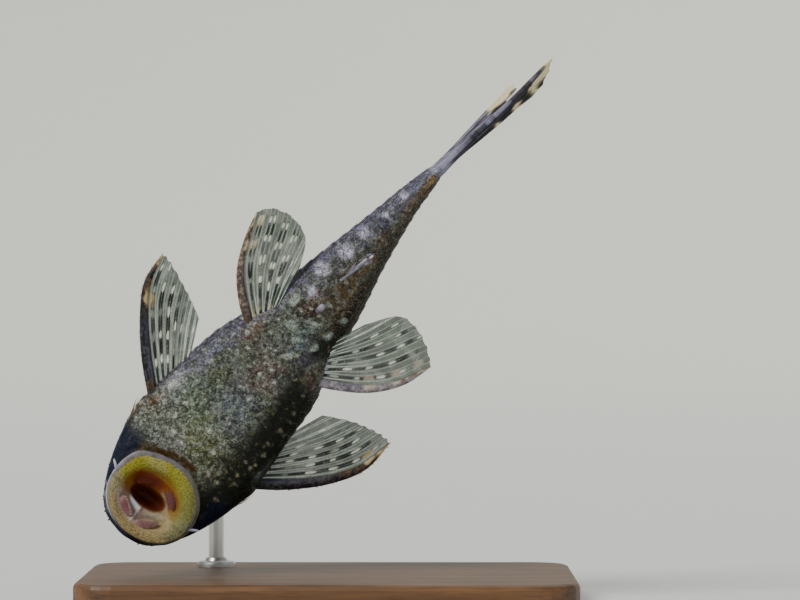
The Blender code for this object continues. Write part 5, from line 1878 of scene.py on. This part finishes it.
    def tones(
        self, share: Array, along: Array, length: Array, ray: Array, lines: tuple, sheet: Array
    ) -> Array:
        """Colour and opacity over the fin.

        Args:
            share: From 0 at the front edge to 1 at the last ray.
            along: From 0 at the root to 1 at the margin.
            length: Distance from the root along the ray.
            ray: Which ray is nearest.
            lines: Distances in millimetres from the nearest branch and from the middle of a pale dash, mask
                of the spines, share across a spine, and noise.
            sheet: Places of the fish's frame.

        Returns:
            Linear colour and opacity of each place.
        """
        branch, pith, in_spine, inner, streak = lines
        rear = ease(share, 0.6, 0.85)
        kind = len(self.name)
        turns = (
            (length - self.band_shift + 0.4 * np.sin(share * 3.0) * self.band) / self.band
            + 0.16 * (streak - 0.5)
        )
        turns += 0.5 * (scatter(np.stack((ray, ray * 0, ray * 0), axis=-1), kind) - 0.5)
        knot = np.rint(turns)
        draw = scatter(np.stack((ray, np.floor(turns), ray * 0), axis=-1), kind)
        other = scatter(np.stack((ray, knot, ray * 0 + 1), axis=-1), kind)
        long = np.sqrt(np.clip(1.0 - ((turns - np.floor(turns) - 0.5) / (0.32 + 0.1 * draw)) ** 2, 0.0, 1.0))
        short = np.sqrt(np.clip(1.0 - ((turns - knot) / (0.12 + 0.08 * other)) ** 2, 0.0, 1.0))
        tone = plain(self.web, sheet)
        tone = paint(tone, self.line, 0.25 * ease(cloud(sheet, 0.9, 31), 0.4, 0.8))
        opacity = self.opacity * (0.85 + 0.3 * cloud(sheet, 1.2, 27))
        root = ease(along, self.rooted, 0.04)
        tone = paint(tone, "#23272b", root * 0.8)
        opacity = np.maximum(opacity, self.opacity + (0.95 - self.opacity) * root)
        # Dark pigment along the rays, in streaks with tapered ends
        broad = 0.2 - 0.05 * root
        dark = (
            ease(branch, broad * long + 0.002, 0.35 * broad * long) * ease(along, 0.02, 0.12)
            * (1.0 - 0.9 * rear)
        )
        dark = dark * (1.0 - 0.8 * ease(along, 0.9, 0.97))
        dark = dark * self.ink * ease(draw + 0.5 * root, 0.05, 0.25) * (0.85 + 0.3 * streak)
        tone = paint(tone, self.dark, dark)
        opacity = np.maximum(opacity, np.clip(dark, 0.0, 0.97))
        # Thin pale bony edges of the rays, single on the last ones
        ends = np.maximum(root, rear)
        thin = bell(branch, 0.26 * (1.0 - rear), 0.055) * (0.5 + 0.6 * streak) * (0.7 + 0.4 * ends)
        tone = layered(tone, (self.line, thin), ("#dfe8e8", thin * ends * self.bright))
        opacity = np.maximum(opacity, np.clip(thin, 0.0, 1.0))
        # Slim white dashes between the dark streaks
        white = (
            ease(pith, 0.2 * short + 0.002, 0.07 * short)
            * ease(other - 0.3 * ease(along, 0.5, 0.2), 0.12, 0.5) * 0.9
        )
        tone = paint(tone, self.pale, white)
        opacity = np.maximum(opacity, white)
        clump = ease(along, 0.24, 0.06) * ease(cloud(sheet, 0.45, 29), 0.4, 0.62) * ease(share, 0.85, 0.6)
        tone = layered(
            tone,
            (self.flesh, clump * 0.85 * self.bright),
            (self.spine_root, ease(along, 0.1, 0.02) * ease(share, 0.6, 0.4) * self.bright),
        )
        # Spine: mottled bone, with painted sheen on its inner side, and the cream blotches that run on into
        # the first ray
        spine = plain(self.spine_tone, sheet)
        fibres = np.stack((inner * 5.0, length * 0.8, 0.0 * length), axis=-1)
        grains = cloud(fibres, 1.0, 25) if self.two_spines else cloud(sheet, 0.22, 25)
        spine = layered(
            spine,
            (self.mottle, ease(grains, 0.42, 0.72) * 0.75),
            ("#151316", ease(cloud(sheet, 0.4, 26), 0.5, 0.8) * 0.5),
            (self.painted_sheen, ease(inner, 0.4, 0.8) * ease(along, 0.72, 0.5) * (0.2 + 0.5 * streak)),
        )
        wander = 0.12 * (cloud(sheet, 0.5, 28) - 0.5)
        inward = ease(inner + 2.5 * wander, 0.3, 0.75)
        tan = (
            ease(along + wander, 0.58, 0.78) * ease(cloud(sheet, 0.35, 30), 0.35, 0.62)
            * (0.3 + 0.7 * inward)
        )
        spine = paint(spine, "#64492a", tan * 0.8)
        for middle in self.blotches:
            blot = ease(np.abs(along - middle + 0.35 * wander) / 0.04, 1.4, 0.4)
            spine = paint(spine, self.tip, blot * inward * 0.8)
            tone = paint(tone, self.tip, blot * ease(share, 0.26, 0.14) * ease(branch, 0.3, 0.15) * 0.75)
        spine = layered(
            spine,
            (self.tip, ease(along + wander, 0.9, 0.98) * 0.85),
            (self.spine_root, ease(along + wander, 0.26, 0.1) * 0.85),
        )
        tone = tone * (1.0 - in_spine[..., None]) + spine * in_spine[..., None]
        opacity = opacity * (1.0 - in_spine) + in_spine
        if self.stem:
            stem = ease(length, 7.5, 3.6)
            folds = cloud(np.stack((share * 60.0, length * 0.5, 0.0 * length), axis=-1), 1.0, 37)
            folds = np.where(share < 0.012, 0.3 + 0.5 * cloud(sheet, 0.5, 38), folds)
            flank = np.maximum(stem, ease(share, 0.6, 0.7) * ease(along, 0.74, 0.68))
            tone = layered(
                tone,
                ("#4f4d5c", flank * 0.9),
                ("#9492a4", flank * ease(folds, 0.55, 0.8) * 0.7),
                ("#1b1a20", flank * ease(folds, 0.45, 0.2) * (0.2 + 0.65 * ease(length, 2.4, 5.5))),
                ("#8f8fa6", ease(length, 7.0, 3.0) * ease(folds, 0.15, 0.55) * 0.85),
            )
            for place, wide in ((69.2, 0.3), (72.7, 0.45), (75.7, 0.45)):
                mark = (
                    bell(sheet[..., 0] + 0.9 * (streak - 0.5), place, wide) * ease(share, 0.18, 0.26)
                    * ease(share, 0.6, 0.5)
                )
                tone = paint(tone, self.tip, mark)
            upper = (
                ease(share + 0.03 * (streak - 0.5), 0.87, 0.91)
                * ease(along + 0.1 * (streak - 0.5), 0.66, 0.72)
            )
            clear = ease(share, 0.56, 0.62) * ease(share, 0.9, 0.87) * ease(sheet[..., 0], 72.2, 72.9)
            lower = (
                ease(share, 0.3, 0.16)
                * ease(along + 0.08 * (streak - 0.5) + np.minimum(share, 0.1), 0.91, 0.95)
            )
            cream = np.maximum(upper, lower)
            tone = paint(tone, self.tip, cream)
            opacity = np.maximum(opacity, np.maximum(stem, cream * 0.95)) * (1.0 - 0.9 * clear)
        return np.concatenate((tone, np.clip(opacity, 0.0, 1.0)[..., None]), axis=-1)

    def hooks(self, count: int) -> bpy.types.Object:
        """Odontodes along the front of the spine, longest near its tip.

        Args:
            count: How many.

        Returns:
            The joined hooks.
        """
        draw = np.random.default_rng(len(self.name) + count)
        along = draw.uniform(0.22, 0.99, count)
        share = draw.uniform(0.0, 0.03, count)
        ahead = self.sheet(share, along) - self.sheet(share + 0.05, along)
        tipward = self.sheet(share, along + 0.02) - self.sheet(share, along - 0.02)
        for way in (ahead, tipward):
            way /= np.linalg.norm(way, axis=1, keepdims=True)
        lift = np.array(self.lift, float) * draw.uniform(-0.9, 0.9, count)[:, None]
        ways = ahead * 0.6 + tipward * 0.8 + lift * 0.6
        ways /= np.linalg.norm(ways, axis=1, keepdims=True)
        lengths = (0.16 + 0.34 * along) * draw.uniform(0.7, 1.1, count)
        roots = self.sheet(share, along) + lift * self.spine * 0.16
        points, faces, which = needles(roots, ways, lengths, np.full(count, 0.05), 5)
        tone = paint(plain("#5c4630", points), "#cbb488", ease(along, 0.45, 0.8)[which])
        return mesh_piece(self.name + "_hooks", points, [faces], tone, None, TOOTH)


PECTORAL_HOOKS = 150
PAIRED = {"lift": (0.0, 0.0, 1.0)}
FINS = (
    Fin(
        "pectoral_fin_left",
        (
            (13.2, -6.4, 3.0), (15.6, -9.4, 3.2), (18.2, -12.5, 3.5),
            (21.6, -15.7, 3.9), (25.5, -18.35, 4.3), (29.9, -19.0, 4.6),
        ),
        ((16.2, -6.4, 2.8), (19.4, -6.4, 2.5)),
        ((29.6, -17.3, 4.2), (28.6, -14.6, 3.8), (27.7, -12.4, 3.4), (26.7, -10.3, 3.1)),
        7, 1.3, **PAIRED, band=3.1, blotches=(0.73,), spine_tone="#131217", mottle="#4a4854",
        spine_root="#624814", tip="#c9b078",
    ),
    Fin(
        "pectoral_fin_right",
        (
            (13.2, 6.5, 3.0), (15.3, 9.6, 3.2), (17.9, 12.7, 3.5),
            (21.5, 15.9, 3.9), (25.7, 18.15, 4.3), (30.4, 18.35, 4.6),
        ),
        ((16.2, 6.5, 2.8), (19.2, 6.5, 2.5)),
        ((30.4, 16.6, 4.2), (29.9, 14.6, 3.8), (29.1, 12.4, 3.4), (27.5, 9.4, 3.1)),
        7, 1.3, **PAIRED, band=3.1, blotches=(0.85,), spine_tone="#151318", mottle="#4a4444",
        spine_root="#22242a", tip="#c2b084", flesh="#aab8c6", rooted=0.5,
    ),
    Fin(
        "pelvic_fin_left",
        ((29.3, -4.4, 1.2), (31.3, -7.7, 1.4), (34.2, -10.6, 1.6), (37.7, -12.4, 1.8), (41.5, -13.6, 1.9)),
        ((31.6, -4.0, 1.2), (33.8, -3.6, 1.1)),
        ((43.2, -12.2, 1.8), (43.9, -9.5, 1.7), (42.9, -6.7, 1.5), (39.9, -5.0, 1.4)),
        6, 0.95, **PAIRED, band=2.7, fork=0.25, spine_tone="#4e4038", mottle="#a08f78", spine_root="#3e3430",
        blotches=(0.7, 0.9), ink=0.9,
    ),
    Fin(
        "pelvic_fin_right",
        ((29.0, 4.8, 1.7), (30.8, 8.3, 1.6), (33.5, 12.0, 1.6), (37.0, 14.6, 1.8), (41.0, 15.75, 1.9)),
        ((31.4, 4.2, 1.5), (33.8, 3.6, 1.3)),
        ((42.6, 13.5, 1.8), (43.5, 11.0, 1.7), (43.1, 8.4, 1.6), (39.6, 5.9, 1.4)),
        7, 0.95, **PAIRED, band=2.9, spine_tone="#77707a", mottle="#b0a8aa", spine_root="#8a8896",
        blotches=(0.5, 0.7, 0.9), ink=0.85, tip="#b5a896", flesh="#b4bcc8", rooted=0.46,
    ),
    Fin(
        "dorsal_fin",
        ((25.4, 0.1, 11.7), (28.6, 0.2, 15.8), (31.7, 0.3, 19.8), (34.9, 0.4, 23.4)),
        ((31.7, 0.2, 10.6), (38.0, 0.2, 9.3)),
        ((38.4, 0.55, 22.6), (41.4, 0.6, 20.6), (43.6, 0.5, 17.8), (44.4, 0.3, 14.6)),
        7, 0.8, (0.0, 1.0, 0.0), opacity=0.6, web="#4c4a48", spine_tone="#4a4038", band=3.2,
    ),
    Fin(
        "adipose_fin",
        ((49.4, 0.0, 7.4), (51.3, 0.0, 9.2), (53.2, 0.0, 10.5)),
        ((51.2, 0.0, 7.1), (53.2, 0.0, 6.9)),
        ((54.0, 0.0, 9.2), (54.9, 0.0, 7.9)),
        1, 0.6, (0.0, 1.0, 0.0), columns=70, rows=50, opacity=0.6, web="#4c443c", spine_tone="#5c4c3c",
    ),
    Fin(
        "anal_fin",
        ((40.6, -0.35, 0.9), (42.3, 0.1, -0.1), (44.4, 0.5, -0.95), (46.8, 0.92, -1.8)),
        ((42.2, -0.32, 1.2), (43.8, -0.28, 1.4)),
        ((47.0, 0.75, -1.0), (46.6, 0.5, -0.1)),
        4, 0.3, (0.1, 1.0, 0.0), columns=110, rows=70, opacity=0.75, web="#5d5966", spine_tone="#6e6b78",
        spine_root="#c4c4d2", mottle="#8d8a98", tip="#d2d2dc", blotches=(0.66, 0.74, 0.82), line="#a3a1ae",
        pale="#8f8d9a", bright=0.0,
    ),
    Fin(
        "caudal_fin",
        ((59.3, 0.28, 1.6), (66.4, 0.8, 0.05), (73.0, 1.4, -0.55), (80.0, 1.78, -0.9)),
        ((59.3, 0.28, 4.1), (59.3, 0.28, 6.6)),
        (
            (78.5, 2.75, 1.2), (76.0, 3.3, 3.4), (74.6, 2.75, 6.0), (74.6, 1.87, 8.6),
            (75.2, 0.93, 11.9),
        ),
        14, 0.8, (0.0, 1.0, 0.0), columns=300, rows=110, two_spines=True, opacity=1.15, web="#0c0b0e",
        pale="#38343e", spine_tone="#40404f", spine_root="#7b7986", mottle="#8c8ca4", line="#26232b",
        band=3.6, blotches=(), tip="#ddcfa6", stem=0.75, bright=0.0, face_shade=0.85,
    ),
)  # fmt: skip


@dataclass
class VentPapilla:
    """The small pale papilla behind the vent."""

    def build(self) -> bpy.types.Object:
        """Make the papilla."""
        way = np.array((0.62, 0.0, -0.78))
        part = soft_cone(np.array((37.1, 0.3, 0.35)), way, 1.3, 0.48, 0.36, np.array((0.15, 0.0, 0.1)))
        points, faces, share = joined([part])
        tone = paint(plain("#5f5a64", points), "#93919f", ease(share, 0.25, 0.8))
        piece = mesh_piece("papilla_soft", points, faces, tone, None, LIP_FLESH)
        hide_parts("vent_papilla")
        return piece


@dataclass
class Stand:
    """The wooden base and steel rod, which keep their solids' shapes."""

    nodes: dict

    def dress(self) -> None:
        """Give base and rod their finishes, and add the collar where the rod enters the base."""
        for node, finish in (("stand_base", WALNUT), ("stand_rod", STEEL)):
            for holder in self.nodes[node].material_slots:
                holder.material = finish.material()
        low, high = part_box("stand_rod")
        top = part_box("stand_base")[1].z
        middle = ((low.x + high.x) / 2, high.y - 0.001)
        profile = np.array(
            ((1.06, 0.0), (2.5, 0.0), (2.5, 0.35), (2.3, 0.6), (1.5, 0.75), (1.3, 1.1), (1.06, 1.15))
        )
        sides = 64
        turn = circle(sides)
        points = np.stack(
            (
                middle[0] / MM + profile[:, :1] * np.cos(turn),
                middle[1] / MM + profile[:, :1] * np.sin(turn),
                top / MM + 0.02 + profile[:, 1:] * np.ones(sides),
            ),
            axis=-1,
        )
        points = np.concatenate((points, points[:1]))
        faces, _ = grid_faces(len(points), sides, True, True)
        mesh = bpy.data.meshes.new("rod_collar")
        mesh.from_pydata((points.reshape(-1, 3) * MM).tolist(), [], faces.tolist())
        mesh.materials.append(STEEL.material())
        collar = placed("rod_collar", mesh)
        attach(collar, "root")
        log.info("stand dressed")


@dataclass
class Studio:
    """Camera, pale floor that sweeps up behind, and soft lights."""

    distance: float = 0.45
    view_width: float = 0.0995
    look_at: tuple = (0.00896, -0.007, 0.0385)
    # Key at upper left, weak fill at the right, glow from above: name, place, spread, power, colour
    lamps: tuple = (
        ("key", (-0.8, -0.75, 0.95), 26.0, 2.9, "#fffaf0"),
        ("fill", (0.9, -0.9, 0.7), 60.0, 0.08, "#e6efff"),
        ("top", (0.1, 0.5, 1.2), 60.0, 0.9, "#f4f8ff"),
    )

    def camera(self) -> None:
        """Set the level camera that faces the fish's belly."""
        lens = bpy.data.cameras.new("camera")
        lens.sensor_width = 36.0
        lens.lens = lens.sensor_width * self.distance / self.view_width
        lens.clip_start, lens.clip_end = 0.02, 20.0
        holder = placed("camera", lens)
        holder.location = Vector(self.look_at) - Vector((0.0, self.distance, 0.0))
        holder.rotation_euler = (math.radians(90.0), 0.0, 0.0)
        bpy.context.scene.camera = holder

    def floor(self) -> None:
        """Make the round floor, whose edge curves up into a low backdrop on all sides."""
        flat, bend, height, sides = 0.85, 0.45, 0.6, 96
        profile = [(0.001, 0.0), (0.3, 0.0), (flat, 0.0)]
        for k in range(1, 17):
            turn = math.radians(90.0) * k / 16
            profile.append((flat + bend * math.sin(turn), bend * (1.0 - math.cos(turn))))
        profile.append((flat + bend, height))
        turns = [2.0 * math.pi * k / sides for k in range(sides)]
        points = [(r * math.cos(t), r * math.sin(t), z) for r, z in profile for t in turns]
        faces, _ = grid_faces(len(profile), sides, True, True)
        mesh = bpy.data.meshes.new("floor")
        mesh.from_pydata(points, [], faces.tolist())
        mesh.shade_smooth()
        mesh.materials.append(FLOOR.material())
        floor = placed("floor", mesh)

    def lights(self) -> None:
        """Set broad, distant lamps, so that fish and backdrop are lit alike, and an even glow all round."""
        for name, place, spread, power, colour in self.lamps:
            light = bpy.data.lights.new(name, "SUN")
            light.angle = math.radians(spread)
            light.energy = power
            light.color = tuple(linear(colour))
            holder = placed(name, light)
            holder.location = place
            aim = Vector(self.look_at) - Vector(place)
            holder.rotation_euler = aim.to_track_quat("-Z", "Y").to_euler()
        world = bpy.data.worlds.new("studio")
        world.use_nodes = True
        glow = world.node_tree.nodes["Background"].inputs
        glow["Color"].default_value = rgba("#e4e9ec")
        glow["Strength"].default_value = 0.3
        bpy.context.scene.world = world


def main(frame: dict) -> None:
    """Build camera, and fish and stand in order.

    Args:
        frame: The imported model's frame.
    """
    logging.basicConfig(level=logging.INFO, format="%(message)s")
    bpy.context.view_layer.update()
    studio = Studio()
    studio.camera()
    body, markings = Body(), Markings()
    Skin(body, markings).build()
    Odontodes(body, markings).build()
    CheekSpines(body).build()
    SnoutTentacles(body).build()
    Mouth().build()
    Barbels().build()
    for jaw in JAWS:
        jaw.build()
    for name, side in (("eye_right", 1), ("eye_left", -1)):
        Eye(name, side, body).build()
    for fin in FINS:
        fin.build()
        if fin.name.startswith("pectoral"):
            fin.hooks(PECTORAL_HOOKS)
    VentPapilla().build()
    Stand(frame["nodes"]).dress()
    studio.floor()
    studio.lights()


if __name__ == "__main__":
    main(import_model())
